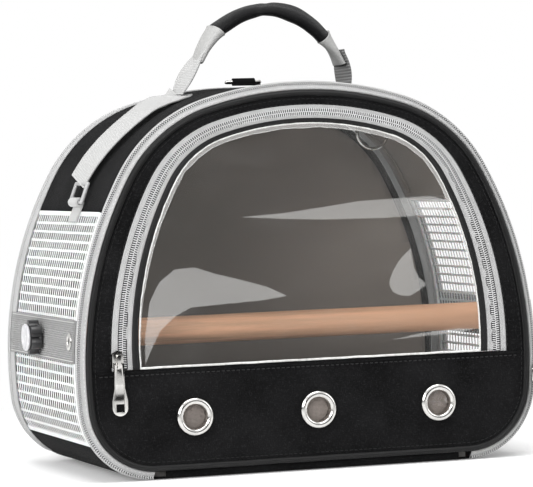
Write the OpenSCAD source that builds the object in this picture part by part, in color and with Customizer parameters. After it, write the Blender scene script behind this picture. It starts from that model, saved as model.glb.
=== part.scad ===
/* [Shell] */
// Width across an end panel
shell_w = 360; // [340:1:380]
// Height of an end panel
panel_h = 284; // [272:1:296]
// Depth over the two end panels
depth = 204; // [170:1:240]
// Radius of the sides
side_r = 300; // [285:1:330]
// Radius of the shoulders
shoulder_r = 110; // [95:1:120]
// Radius of the crown
top_r = 270; // [250:1:290]
// Radius of the bottom corners
corner_r = 52; // [44:1:60]
// Thickness of the outer fabric
fabric_t = 1.6; // [1.2:0.1:2]
// Thickness of the lining
lining_t = 1; // [0.6:0.1:1.4]
// Thickness of the stiff base board
board_t = 3.6; // [2.5:0.1:5]
// Height of the seam under the window
seam_z = 83; // [78:1:90]
/* [Perimeter zips] */
// How far a perimeter zip leans out from the panel, and back along the shell
zip_reach = 6.4; // [6:0.1:7.5]
// Thickness of zip tape
tape_t = 1; // [0.8:0.1:1.2]
// Height of the coil above its tape
coil_h = 1; // [0.6:0.1:1.2]
// Width of one half of the coil
coil_w = 1.3; // [1:0.1:1.6]
// Diameter of the round piping
piping_d = 5; // [4:0.1:5.6]
/* [Side nets] */
// Height of the lower edge of a net
net_low = 27; // [24:1:32]
// Height of the upper edge of a net
net_high = 202; // [196:1:206]
// Thickness of a net
net_t = 1.2; // [1:0.1:1.6]
// Gaps of a net along the depth
net_columns = 13; // [9:1:14]
// Gaps of a net along the height
net_rows = 10; // [8:1:11]
// Thread between two gaps
net_thread = 3; // [2.4:0.1:4]
// Height of the webbing band across a net
band_h = 32; // [28:1:38]
// Thickness of the webbing band
band_t = 1.5; // [1.2:0.1:2]
// Hole of the small band eyelets
band_eyelet_d = 6; // [4:0.5:7]
/* [Window] */
// From the panel's side edge to the window zip
window_side = 20; // [18:1:24]
// From the panel's top edge to the window zip
window_top = 11.5; // [11:0.5:14]
// Width of the fixed zip half, with its coil
fixed_tape_w = 8.2; // [7.4:0.1:9]
// Width of the flap's zip tape
flap_tape_w = 7.4; // [6.6:0.1:8]
// Width of the binding round the pane
binding_w = 4.8; // [4.2:0.1:5.6]
// Width of the welt round the pane
welt_w = 2.4; // [2:0.1:3]
// Thickness of the clear pane
pane_t = 0.8; // [0.6:0.1:1]
// Gap between the flap and what is round it
flap_gap = 0.4; // [0.35:0.05:0.6]
/* [Vents] */
// Clear hole of a vent
vent_d = 18; // [14:0.5:20]
// Outer diameter of a vent eyelet
vent_flange_d = 29.5; // [27:0.5:32]
// Distance between vents
vent_pitch = 99; // [80:1:105]
// Height of the vents
vent_z = 46; // [42:1:50]
// How far the middle vent sits to the right
vent_x = 3; // [-6:1:6]
/* [Perch] */
// Diameter of the perch
perch_d = 22; // [16:0.5:25]
// Height of the perch
perch_z = 106; // [100:1:112]
// Diameter of a star knob over its lobes
knob_d = 27; // [24:0.5:30]
// Thickness of a star knob
knob_t = 9; // [7:0.5:12]
// Diameter of a knob's stud
stud_d = 5; // [4:0.5:6]
// Length of a stud inside the perch
stud_l = 18; // [12:1:24]
// Running clearance of a stud
stud_fit = 0.06; // [0.03:0.01:0.1]
// Thickness of a washer
washer_t = 1.2; // [0.8:0.1:1.6]
/* [Handle] */
// Radius of the grip's curve
grip_r = 67; // [60:1:74]
// Sideways place of the grip's middle
grip_x = 8; // [0:1:12]
// Width of the padded grip
grip_w = 28; // [22:1:34]
// Thickness of the padded grip
grip_t = 11; // [9:0.5:13]
// Angle that the padded grip spans
grip_span = 94; // [80:1:104]
// Angle that a sleeve spans
sleeve_span = 15; // [10:1:18]
// Width of the webbing
webbing_w = 25; // [20:1:28]
// Thickness of the webbing
webbing_t = 1.8; // [1.4:0.1:2.2]
// From the middle to where a strap leaves the shell
crease_x = 70; // [62:1:78]
// How far to the front of the middle the strap rings hang
ring_front = 28; // [0:1:32]
// Wire of the metal rings
wire_d = 2.8; // [2.2:0.1:3.2]
/* [Sliders] */
// Length of a slider's body
slider_l = 15; // [12:0.5:17]
// Height of a slider's body
slider_h = 3; // [2.6:0.1:3.6]
// Length of a pull tab
pull_l = 38; // [30:1:42]
// Width of a pull tab at its root
pull_w = 8; // [7:0.5:8.5]
// Width of a pull tab at its end
pull_end_w = 12; // [10:0.5:13]
// Thickness of a pull tab
pull_t = 1.6; // [1.2:0.1:2]
// Height at which the perimeter sliders rest
perimeter_slider_z = 64; // [62:1:80]

/* [Hidden] */

$fn = 48;
black = [0.16, 0.16, 0.17];
grey = [0.78, 0.78, 0.78];
white = [0.95, 0.95, 0.95];
steel = [0.8, 0.8, 0.82];

// Gaps that part the moving pieces
part_gap = 0.4;
seat_gap = 0.3;

// The panel stands this high above the floor, and the shell's edge reaches the floor
lift = zip_reach;
panel_y = depth / 2;
shell_y = panel_y - zip_reach;
hinge_y = panel_y - 4;
hinge_z = lift + 0.2;

// Centres of the arcs of the right half, as [x, z] from the panel's lower edge
widest_z = corner_r + 24;
side_c = [shell_w / 2 - side_r, widest_z];
top_c = [0, panel_h - top_r];
corner_c = [
  side_c[0] + sqrt(pow(side_r - corner_r, 2) - pow(widest_z - corner_r, 2)),
  corner_r
];
shoulder_c = meet(side_c, side_r - shoulder_r, top_c, top_r - shoulder_r);

function meet(a, ra, b, rb) =
  let (gap = norm(b - a), along = (b - a) / gap, across = [along[1], -along[0]])
  let (reach = (ra * ra - rb * rb + gap * gap) / (2 * gap))
  let (side = sqrt(ra * ra - reach * reach))
  let (p = a + along * reach + across * side, q = a + along * reach - across * side)
  p[0] > q[0] ? p : q;

function bearing(from, to) = atan2(to[1] - from[1], to[0] - from[0]);

function arc(c, r, a0, a1, n, first = 0) =
  [for (i = [first:n]) let (a = a0 + (a1 - a0) * i / n) [c[0] + r * cos(a), c[1] + r * sin(a)]];

corner_end = bearing(side_c, corner_c);
side_end = bearing(side_c, shoulder_c);
shoulder_end = bearing(top_c, shoulder_c);
corner_n = 9;
side_n = 9;
shoulder_n = 8;
top_n = 5;
half_n = corner_n + side_n + shoulder_n + top_n;

// Right half of the outline grown by o, from the bottom to the crown
function half_outline(o) = concat(
  arc(corner_c, corner_r + o, -90, corner_end, corner_n),
  arc(side_c, side_r + o, corner_end, side_end, side_n, 1),
  arc(shoulder_c, shoulder_r + o, side_end, shoulder_end, shoulder_n, 1),
  arc(top_c, top_r + o, shoulder_end, 90, top_n, 1)
);

// Whole outline above the floor, from the right end of its flat bottom round to the left end
function outline(o) =
  let (h = half_outline(o))
  [for (i = [0:2 * half_n])
    i <= half_n ? [h[i][0], h[i][1] + lift] : [-h[2 * half_n - i][0], h[2 * half_n - i][1] + lift]];

function sum_to(v, i) = i < 0 ? 0 : v[i] + sum_to(v, i - 1);

module loaf(o) { polygon(outline(o)); }

module loaf_ring(outer, inner) {
  difference() {
    loaf(outer);
    loaf(inner);
  }
}

// Stands a flat shape of x and z up between two depths
module stand(y0, y1) {
  translate([0, y1, 0]) rotate([90, 0, 0]) linear_extrude(y1 - y0) children();
}

module strip_between(z0, z1) {
  translate([-shell_w, z0]) square([2 * shell_w, z1 - z0]);
}

// Turns the front end's pieces into the rear end's
module at_rear() { rotate([0, 0, 180]) children(); }

module on_side(side) { mirror([side < 0 ? 1 : 0, 0, 0]) children(); }

// Sweeps a closed profile of [outset, y] points along stations of the outline
module sweep(profile, first, last) {
  n = len(profile);
  closed = last - first > 2 * half_n;
  rings = closed ? 2 * half_n + 1 : last - first + 1;
  lines = [for (p = profile) outline(p[0])];
  points = [for (i = [0:rings - 1], k = [0:n - 1])
    [lines[k][first + i][0], profile[k][1], lines[k][first + i][1]]];
  sides = [for (i = [0:closed ? rings - 1 : rings - 2], k = [0:n - 1])
    let (j = (i + 1) % rings, m = (k + 1) % n)
    [i * n + k, j * n + k, j * n + m, i * n + m]];
  caps = closed ? [] : [[for (k = [0:n - 1]) k], [for (k = [n - 1:-1:0]) (rings - 1) * n + k]];
  polyhedron(points, concat(sides, caps));
}

// Slanted coordinates across a front perimeter zip: s along the tape, h out of it
function slant(s, h) = [(s + h) * sqrt(0.5), -(panel_y - 0.3) + (s - h) * sqrt(0.5)];
zip_run = (zip_reach - 0.3) * sqrt(2);
zip_mid = zip_run / 2;
door_stop = zip_mid - part_gap / 2;
shell_start = zip_mid + part_gap / 2;
zip_first = 4;
zip_last = 2 * half_n - 4;

/* ---------- shell ---------- */

module base_cover() {
  color(black) stand(-shell_y, shell_y) intersection() {
    loaf_ring(zip_reach, zip_reach - fabric_t);
    strip_between(-1, net_low);
  }
}

module base_board() {
  color([0.3, 0.3, 0.31])
    translate([-corner_c[0], -shell_y + 2, fabric_t])
      cube([2 * corner_c[0], 2 * shell_y - 4, board_t]);
}

module top_layer(outer, inner, end_y) {
  stand(-end_y, end_y) intersection() {
    loaf_ring(outer, inner);
    strip_between(net_high, 2 * panel_h);
  }
}

module top_panel() {
  color(black) top_layer(zip_reach, zip_reach - fabric_t, shell_y);
}

module top_lining() {
  color([0.5, 0.5, 0.5]) top_layer(zip_reach - fabric_t, zip_reach - fabric_t - lining_t, shell_y);
}

net_edge = 4;
net_span_y = 2 * (shell_y - net_edge);
net_span_z = net_high - net_low - 2 * net_edge;
gap_y = (net_span_y + net_thread) / net_columns - net_thread;
gap_z = (net_span_z + net_thread) / net_rows - net_thread;
boss_d = stud_d + 14;

// Side net: thread round a grid of tall gaps, with a whole patch where the stud goes through
module net_pattern() {
  difference() {
    translate([-shell_y, net_low]) square([2 * shell_y, net_high - net_low]);
    difference() {
      for (c = [0:net_columns - 1], r = [0:net_rows - 1])
        translate([
          -net_span_y / 2 + c * (gap_y + net_thread),
          net_low + net_edge + r * (gap_z + net_thread)
        ]) square([gap_y, gap_z]);
      translate([0, perch_z]) circle(d = boss_d);
    }
    translate([0, perch_z]) circle(d = stud_d + 1);
  }
}

module side_net(side) {
  color(white) on_side(side) intersection() {
    stand(-shell_y, shell_y) loaf_ring(zip_reach, zip_reach - net_t);
    translate([shell_w / 2 - 60, 0, 0]) rotate([90, 0, 90]) linear_extrude(90) net_pattern();
  }
}

module side_net_left() { side_net(-1); }
module side_net_right() { side_net(1); }

// Outer face of the side wall at a height
function wall_at(z) = side_c[0] + sqrt(pow(side_r + zip_reach, 2) - pow(z - lift - side_c[1], 2));
wall_x = wall_at(perch_z);
eyelet_y = -(shell_y - 13);
rib_n = 8;

// Ribbed webbing band across the net
module side_band(side) {
  color(grey) on_side(side) difference() {
    stand(-shell_y, shell_y) difference() {
      intersection() {
        loaf_ring(zip_reach + band_t, zip_reach);
        translate([0, perch_z - band_h / 2]) square([shell_w, band_h]);
      }
      for (i = [1:rib_n - 1])
        translate([wall_x + band_t - 0.35, perch_z - band_h / 2 + i * band_h / rib_n - 0.5])
          square([2, 1]);
    }
    translate([wall_x, 0, perch_z]) rotate([0, 90, 0]) cylinder(d = stud_d + 1, h = 20, center = true);
    translate([wall_x, eyelet_y, perch_z])
      rotate([0, 90, 0]) cylinder(d = band_eyelet_d + 2, h = 20, center = true);
  }
}

module side_band_left() { side_band(-1); }
module side_band_right() { side_band(1); }

// Turned ring with a flange, square to the leaning wall, its bore through
band_face_r = side_r + zip_reach + band_t;
band_lean = asin((perch_z - lift - side_c[1]) / band_face_r);

module band_eyelet(side) {
  color(steel) on_side(side) translate([side_c[0], eyelet_y, lift + side_c[1]])
    rotate([0, -band_lean, 0]) translate([band_face_r + 0.1, 0, 0]) rotate([0, 90, 0])
      rotate_extrude() union() {
        translate([band_eyelet_d / 2, 0]) square([3.5, 1]);
        translate([band_eyelet_d / 2, -band_t]) square([0.8, band_t + 0.5]);
      }
}

module band_eyelet_left() { band_eyelet(-1); }
module band_eyelet_right() { band_eyelet(1); }

module front_zip_shell_half() {
  color(grey) sweep([
    slant(shell_start, 0), slant(zip_run, 0), slant(zip_run, tape_t),
    slant(shell_start + coil_w, tape_t), slant(shell_start + coil_w, tape_t + coil_h),
    slant(shell_start, tape_t + coil_h)
  ], 2, 2 * half_n - 2);
}

module rear_zip_shell_half() { at_rear() front_zip_shell_half(); }

// Folded strip from the base's edge up to the door's lower edge
module front_hinge_fold() {
  color(black) translate([-corner_c[0] + 4, 0, 0]) rotate([90, 0, 90])
    linear_extrude(2 * corner_c[0] - 8) polygon([
      [-shell_y, 0], [-shell_y - 1.2, 0], [-hinge_y + part_gap, 1.2], [-hinge_y + part_gap, lift - 0.6],
      [-hinge_y + part_gap + 1, lift - 0.6], [-hinge_y + part_gap + 1, fabric_t], [-shell_y, fabric_t]
    ]);
}

module rear_hinge_fold() { at_rear() front_hinge_fold(); }

/* ---------- perch and knobs ---------- */

insert_d = stud_d + 3;
washer_d = stud_d + 9;
inner_face = wall_at(perch_z + washer_d / 2) - net_t - 0.1;
outer_face = wall_at(perch_z - washer_d / 2) + band_t + 0.1;
perch_l = 2 * (inner_face - washer_t);

module perch() {
  color([0.72, 0.53, 0.38]) translate([0, 0, perch_z]) rotate([0, 90, 0]) difference() {
    cylinder(d = perch_d, h = perch_l, center = true, $fn = 96);
    for (s = [-1, 1]) translate([0, 0, s * perch_l / 2])
      cylinder(d = insert_d, h = 2 * stud_l, center = true);
  }
}

module perch_inserts() {
  color("goldenrod") for (s = [-1, 1]) translate([s * (perch_l / 2 - stud_l / 2), 0, perch_z])
    rotate([0, 90, 0]) difference() {
      cylinder(d = insert_d, h = stud_l, center = true);
      cylinder(d = stud_d + 2 * stud_fit, h = 2 * stud_l, center = true);
    }
}

module washer_pair(x) {
  for (s = [-1, 1]) translate([s * x, 0, perch_z]) rotate([0, 90, 0]) difference() {
    cylinder(d = washer_d, h = washer_t, center = true);
    cylinder(d = stud_d + 2 * stud_fit, h = 2 * washer_t, center = true);
  }
}

module inner_washers() { color(steel) washer_pair(inner_face - washer_t / 2); }
module outer_washers() { color(steel) washer_pair(outer_face + washer_t / 2); }

lobes = 6;
lobe_r = knob_d * 0.17;

// Star knob with lobes, valleys between them, a domed face and its stud
module knob(side) {
  face_x = outer_face + washer_t + seat_gap;
  color(black) on_side(side) translate([face_x, 0, perch_z]) rotate([0, 90, 0]) {
    difference() {
      union() {
        cylinder(d = knob_d - 2 * lobe_r, h = knob_t);
        for (i = [0:lobes - 1]) rotate(i * 360 / lobes)
          translate([knob_d / 2 - lobe_r, 0, 0]) cylinder(r = lobe_r, h = knob_t - 1);
      }
      for (i = [0:lobes - 1]) rotate((i + 0.5) * 360 / lobes)
        translate([knob_d / 2 + lobe_r * 0.3, 0, -1]) cylinder(r = lobe_r, h = knob_t + 2);
    }
    translate([0, 0, knob_t]) cylinder(d1 = knob_d - 2 * lobe_r - 1, d2 = knob_d / 3, h = 1);
    translate([0, 0, -(face_x - perch_l / 2 + stud_l - 1)])
      cylinder(d = stud_d, h = face_x - perch_l / 2 + stud_l);
  }
}

module knob_left() { knob(-1); }
module knob_right() { knob(1); }

/* ---------- end doors ---------- */

frame_edge = -piping_d;

module piping() {
  r = piping_d / 2 / cos(22.5);
  sweep([for (a = [22.5:45:359])
    [-piping_d / 2 + r * cos(a), -panel_y + r * sin(a)]], 0, 2 * half_n + 1);
}

module zip_door_half() {
  sweep([
    slant(0, 0), slant(door_stop, 0), slant(door_stop, tape_t + coil_h),
    slant(door_stop - coil_w, tape_t + coil_h), slant(door_stop - coil_w, tape_t), slant(0, tape_t)
  ], zip_first, zip_last);
}

// Window shape drawn in by i from the panel's edge: the crown is drawn in less than the sides
crown_ease = 0.36;
function crown_rise(i) = window_side - window_top + crown_ease * (i - window_side);

module window_shape(i, low) {
  intersection() {
    translate([0, crown_rise(i)]) loaf(-i);
    strip_between(low, 2 * panel_h);
  }
}

module window_ring(outer, inner, low, inner_low) {
  difference() {
    window_shape(outer, low);
    window_shape(inner, inner_low);
  }
}

fixed_in = window_side + fixed_tape_w;
flap_out = fixed_in + flap_gap;
flap_tape_in = flap_out + flap_tape_w;
binding_in = flap_tape_in + binding_w;
opening_in = fixed_in - 1.4;
flap_low = seam_z + 1;
flap_hinge_y = panel_y + 0.6;
flap_hinge_z = seam_z + 0.6;
flap_back = panel_y - 0.1;

module front_frame() {
  color(black) stand(-panel_y, -panel_y + fabric_t + 0.4) difference() {
    intersection() {
      loaf(frame_edge);
      strip_between(seam_z, 2 * panel_h);
    }
    window_shape(opening_in, seam_z - 1);
  }
}

module vent_holes(d) {
  for (k = [-1:1]) translate([vent_x + k * vent_pitch, vent_z]) circle(d = d);
}

vent_barrel_d = vent_d + 2;

module front_lower_panel() {
  color(black) stand(-panel_y, -panel_y + fabric_t + 0.4) difference() {
    intersection() {
      loaf(frame_edge);
      strip_between(0, seam_z);
    }
    vent_holes(vent_barrel_d);
  }
}

lining_y = panel_y - fabric_t - 0.4;

module front_lining() {
  color([0.4, 0.4, 0.41]) stand(-lining_y, -lining_y + lining_t) difference() {
    intersection() {
      loaf(frame_edge - 3);
      strip_between(0, seam_z - 4);
    }
    vent_holes(vent_barrel_d);
  }
}

module front_piping() { color(black) piping(); }
module front_zip_door_half() { color(grey) zip_door_half(); }

// Fixed half of the window zip, with its raised coil
module window_zip_fixed_half() {
  coil_in = fixed_in - 1;
  color(grey) {
    stand(-panel_y - tape_t, -panel_y) window_ring(window_side, fixed_in, seam_z, 0);
    stand(-panel_y - tape_t - 0.3, -panel_y - tape_t) window_ring(coil_in - 2, coil_in, seam_z, 0);
  }
}

flange_t = 1.2;

// Vent eyelet with a rolled rim: barrel through the panel, flange outside
module vent_eyelets() {
  color(steel) for (k = [-1:1]) translate([vent_x + k * vent_pitch, -panel_y, vent_z])
    rotate([90, 0, 0]) rotate_extrude($fn = 72) difference() {
      union() {
        translate([vent_d / 2, -fabric_t - 0.4 - lining_t]) square([1, fabric_t + 0.4 + lining_t + flange_t]);
        translate([vent_d / 2, 0]) square([(vent_flange_d - vent_d) / 2, flange_t]);
        translate([(vent_d + vent_flange_d) / 4, flange_t]) circle(d = (vent_flange_d - vent_d) / 2);
      }
      translate([0, -10]) square([vent_flange_d, 10 - fabric_t - 0.4 - lining_t]);
      translate([vent_barrel_d / 2, -5]) square([vent_flange_d, 5]);
    }
}

module vent_washers() {
  color(steel) for (k = [-1:1])
    translate([vent_x + k * vent_pitch, -lining_y + lining_t, vent_z])
    rotate([-90, 0, 0]) difference() {
      cylinder(d = vent_flange_d - 3, h = 0.5);
      translate([0, 0, -1]) cylinder(d = vent_d, h = 3);
    }
}

/* ---------- window flap ---------- */

module window_pane() {
  color([0.8, 0.85, 0.9, 0.4]) stand(-flap_back - pane_t, -flap_back)
    window_shape(binding_in, flap_low + 4);
}

module window_welt() {
  color(white) stand(-flap_back - pane_t - 0.6, -flap_back - pane_t)
    window_ring(binding_in, binding_in + welt_w, flap_low + 4, flap_low + 4 + welt_w);
}

module window_binding() {
  color(black) stand(-flap_back - pane_t - 0.8, -flap_back)
    window_ring(flap_tape_in, binding_in, flap_low, flap_low + 4);
}

module window_zip_flap_half() {
  color(grey) stand(-flap_back - tape_t, -flap_back)
    window_ring(flap_out, flap_tape_in, flap_low, 0);
}

/* ---------- rear door ---------- */

module rear_panel() {
  color(black) at_rear() stand(-panel_y, -panel_y + fabric_t + 0.4) loaf(frame_edge);
}

module rear_lining() {
  color([0.5, 0.5, 0.5]) at_rear() stand(-lining_y, -lining_y + lining_t) loaf(frame_edge - 3);
}

module rear_piping() { color(black) at_rear() piping(); }
module rear_zip_door_half() { color(grey) at_rear() zip_door_half(); }

/* ---------- sliders and pulls ---------- */

// Slider seen from its face: rounded top, narrower tail, bridge that carries the pull
module slider_body(w) {
  difference() {
    union() {
      linear_extrude(slider_h) union() {
        translate([-w / 2, -slider_l / 2 + 2]) square([w, slider_l - 2 - w / 2]);
        translate([0, slider_l / 2 - w / 2]) circle(d = w);
        translate([-w * 0.34, -slider_l / 2]) square([w * 0.68, 4]);
      }
      translate([-bridge_w / 2, bridge_eye - 2.3, slider_h]) cube([bridge_w, slider_l - 5, bridge_h]);
    }
    translate([0, bridge_eye, slider_h + bridge_h / 2 - 0.3]) rotate([0, 90, 0])
      cylinder(d = pin_d + 0.8, h = 2 * w, center = true);
  }
}

bridge_w = 2.6;
bridge_h = 4;
bridge_eye = -slider_l / 2 + 4.2;
pin_d = 1.8;

// Pull tab lying along -y from its pin, with its window near the end
module pull_tab() {
  span = pull_w - 3;
  difference() {
    union() {
      translate([0, 0, -pull_t / 2]) linear_extrude(pull_t) difference() {
        union() {
          polygon([
            [-pull_w / 2, 1.4], [pull_w / 2, 1.4], [pull_w / 2, -pull_l * 0.45],
            [pull_end_w / 2, -pull_l * 0.7], [pull_end_w / 2, -pull_l + pull_end_w / 2],
            [-pull_end_w / 2, -pull_l + pull_end_w / 2], [-pull_end_w / 2, -pull_l * 0.7],
            [-pull_w / 2, -pull_l * 0.45]
          ]);
          translate([0, -pull_l + pull_end_w / 2]) circle(d = pull_end_w);
        }
        translate([-(bridge_w + 1) / 2, -3.8]) square([bridge_w + 1, 8]);
        translate([-pull_end_w * 0.26, -pull_l + 3]) square([pull_end_w * 0.52, 6]);
      }
    }
    translate([-pull_end_w * 0.26, -pull_l * 0.68, pull_t / 2 - 0.5])
      cube([pull_end_w * 0.52, pull_l * 0.3, 1]);
  }
  rotate([0, 90, 0]) cylinder(d = pin_d, h = span, center = true);
}

slider_in = fixed_in - 0.2;
slider_w = fixed_tape_w + 0.4;
slider_track = slider_in - slider_w / 2;
window_slider_z = seam_z + slider_l / 2 + 1;
track_z = lift + side_c[1] + crown_rise(slider_track);
window_slider_lean = asin((window_slider_z - track_z) / (side_r - slider_track));

// Places a slider of the window zip on the left of the track
module on_window_track() {
  c = [-side_c[0], -panel_y - tape_t - 0.3 - seat_gap, track_z];
  translate(c) rotate([0, window_slider_lean, 0]) translate([-(side_r - slider_track), 0, 0])
    rotate([90, 0, 0]) children();
}

pin_height = slider_h + bridge_h / 2 - 0.3;

module window_slider() { color(steel) on_window_track() slider_body(slider_w); }

module window_pull() {
  color(steel) on_window_track() translate([0, bridge_eye, pin_height]) pull_tab();
}

// Places a perimeter slider on the right side of the front, out of the slanted tape
track_lean = asin((perimeter_slider_z - lift - side_c[1]) / (side_r + zip_reach / 2));

module on_front_track() {
  translate([side_c[0], 0, lift + side_c[1]]) rotate([0, -track_lean, 0])
    translate([side_r, -panel_y + 0.3, 0]) rotate([0, 0, 45]) translate([zip_mid, 0, 0])
      rotate([90, 0, 0]) translate([0, 0, tape_t + coil_h + seat_gap]) children();
}

perimeter_slider_w = 8;

module front_slider() { color(steel) on_front_track() slider_body(perimeter_slider_w); }

module front_pull() {
  color(steel) on_front_track() translate([0, bridge_eye, pin_height]) pull_tab();
}

module rear_slider() { mirror([0, 1, 0]) front_slider(); }
module rear_pull() { mirror([0, 1, 0]) front_pull(); }

/* ---------- handle ---------- */

crown_z = lift + top_c[1] + sqrt(pow(top_r + zip_reach, 2) - pow(crease_x, 2));
handle_z = crown_z + webbing_t + 0.9;
grip_c = [grip_x, handle_z - 0.2];
grip_end = grip_span / 2;
sleeve_end = grip_end + sleeve_span;

module handle_arc(a0, a1) {
  translate([grip_c[0], 0, grip_c[1]]) rotate([-90, 0, 0]) rotate(-a1)
    rotate_extrude(angle = a1 - a0, $fn = 96) translate([grip_r, 0]) children();
}

// Flat pad with round edges
module pad_profile(w, t) {
  square([t, w - t], center = true);
  for (s = [-1, 1]) translate([0, s * (w - t) / 2]) circle(d = t, $fn = 24);
}

module grip() { color(black) handle_arc(90 - grip_end, 90 + grip_end) pad_profile(grip_w, grip_t); }

module grip_sleeves() {
  color(grey) {
    handle_arc(90 + grip_end, 90 + sleeve_end) pad_profile(grip_w - 1, grip_t - 4);
    handle_arc(90 - sleeve_end, 90 - grip_end) pad_profile(grip_w - 1, grip_t - 4);
  }
}

// Straight webbing from a sleeve's end down to the crease
module upper_strap(side) {
  top = [grip_c[0] + side * grip_r * sin(sleeve_end), grip_c[1] + grip_r * cos(sleeve_end)];
  foot = [side * crease_x, handle_z];
  run = norm(top - foot);
  lean = atan2(top[0] - foot[0], top[1] - foot[1]);
  color(grey) translate([foot[0], 0, foot[1]]) rotate([0, lean, 0])
    translate([-webbing_t / 2, -webbing_w / 2, 0]) cube([webbing_t, webbing_w, run - 1]);
}

module upper_strap_left() { upper_strap(-1); }
module upper_strap_right() { upper_strap(1); }

ring_bar_d = 3.2;
ring_long = webbing_w + 10;
ring_wide = 15;
ring_tilt = 3;
anchor_r = ring_bar_d / 2 + seat_gap;
strap_loop_r = ring_bar_d / 2 + 1.4;
strap_end_w = webbing_w - 4;

// Foot of the oblong ring: the side arc just above the net
ring_angle = asin((net_high + 6 - lift - side_c[1]) / (side_r + zip_reach));

module on_ring_foot(side) {
  on_side(side) translate([side_c[0], 0, lift + side_c[1]]) rotate([0, -ring_angle, 0])
    translate([side_r + zip_reach + anchor_r + webbing_t + 0.1, -ring_front, 0]) children();
}

// Oblong strap ring standing up the side from its lower bar
module strap_ring(side) {
  reach = (ring_long - ring_bar_d) / 2;
  color([0.7, 0.7, 0.7]) on_ring_foot(side) rotate([0, ring_tilt, 0]) {
    for (z = [0, ring_wide]) translate([0, 0, z]) rotate([90, 0, 0])
      cylinder(d = ring_bar_d, h = 2 * reach, center = true);
    for (s = [-1, 1]) translate([0, s * reach, 0]) {
      cylinder(d = ring_bar_d, h = ring_wide);
      for (z = [0, ring_wide]) translate([0, 0, z]) sphere(d = ring_bar_d);
    }
  }
}

module strap_ring_left() { strap_ring(-1); }
module strap_ring_right() { strap_ring(1); }

// Webbing turned round a bar, with a tail that runs off its inner side
module webbing_loop(r, tail) {
  rotate([90, 0, 0]) difference() {
    cylinder(r = r + webbing_t, h = strap_end_w, center = true);
    cylinder(r = r, h = strap_end_w + 2, center = true);
  }
  translate([-r - webbing_t, -strap_end_w / 2, min(0, tail)]) cube([webbing_t, strap_end_w, abs(tail)]);
}

// Doubled webbing from the net's top edge, looped round the ring's lower bar
module anchor_loop(side) { color(grey) on_ring_foot(side) webbing_loop(anchor_r, -15); }

module anchor_loop_left() { anchor_loop(-1); }
module anchor_loop_right() { anchor_loop(1); }

strap_low = net_high + 24;
strap_low_x = side_c[0] + sqrt(pow(side_r + zip_reach, 2) - pow(strap_low - lift - side_c[1], 2));
strap_skew = atan2(ring_front, strap_low_x - crease_x);

// Lower strap lying on the shoulder from the ring's upper bar to the crease
module lower_strap(side) {
  color(grey) {
    intersection() {
      stand(-2 * webbing_w, 2 * webbing_w) loaf_ring(zip_reach + webbing_t + 0.05, zip_reach + 0.05);
      on_side(side) translate([crease_x, 0, strap_low]) rotate([0, 0, -strap_skew])
        translate([0, -strap_end_w / 2, 0]) cube([shell_w, strap_end_w, panel_h]);
    }
    on_ring_foot(side) rotate([0, ring_tilt, 0]) translate([0, 0, ring_wide])
      rotate([0, -ring_tilt, 0]) webbing_loop(strap_loop_r, 12);
  }
}

module lower_strap_left() { lower_strap(-1); }
module lower_strap_right() { lower_strap(1); }

/* ---------- metal rings ---------- */

module wire_ring(r, d) { rotate_extrude($fn = 64) translate([r, 0]) circle(d = d, $fn = 16); }

top_ring_x = -15;
top_ring_w = 30;
top_ring_l = 20;
crown_top = lift + panel_h + zip_reach;
tab_bore = wire_d + 0.8;
tab_t = 1.2;
tab_r = tab_bore / 2 + tab_t;

// D-ring lying on the crown, its straight bar in the tab
module top_ring() {
  color(steel) translate([top_ring_x, 0, crown_top + tab_r]) {
    rotate([0, 90, 0]) cylinder(d = wire_d, h = top_ring_w - wire_d, center = true);
    intersection() {
      scale_ring();
      translate([-50, 0, -5]) cube([100, 50, 10]);
    }
    for (s = [-1, 1]) translate([s * (top_ring_w - wire_d) / 2, 0, 0]) sphere(d = wire_d);
  }
}

module scale_ring() { wire_ring((top_ring_w - wire_d) / 2, wire_d); }

// Sewn tab: a tube of webbing round the bar and a flat tail on the crown
module ring_tab(w, tail) {
  difference() {
    union() {
      rotate([0, 90, 0]) cylinder(r = tab_r, h = w, center = true);
      translate([-w / 2, -tail, -tab_r]) cube([w, tail, tab_t]);
    }
    rotate([0, 90, 0]) cylinder(d = tab_bore, h = w + 2, center = true);
  }
}

module top_ring_tab() {
  color(black) translate([top_ring_x, 0, crown_top + tab_r]) ring_tab(top_ring_w - 12, 16);
}

inner_ring_x = 93;
inner_ring_r = 13;
inner_wall = zip_reach - fabric_t - lining_t;
inner_top = lift + top_c[1] + sqrt(pow(top_r + inner_wall, 2) - pow(inner_ring_x, 2));
inner_pin_z = inner_top - 8;

module inner_ring_tab() {
  color([0.5, 0.5, 0.5]) translate([inner_ring_x, 0, inner_pin_z]) difference() {
    union() {
      rotate([0, 90, 0]) cylinder(r = tab_r, h = 8, center = true);
      translate([-4, -tab_t / 2, 1]) cube([8, tab_t, 4.2]);
    }
    rotate([0, 90, 0]) cylinder(d = tab_bore + 1.2, h = 12, center = true);
  }
}

module inner_ring() {
  color(steel) translate([inner_ring_x, 0, inner_pin_z - inner_ring_r]) rotate([90, 0, 0])
    wire_ring(inner_ring_r, wire_d);
}

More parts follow.
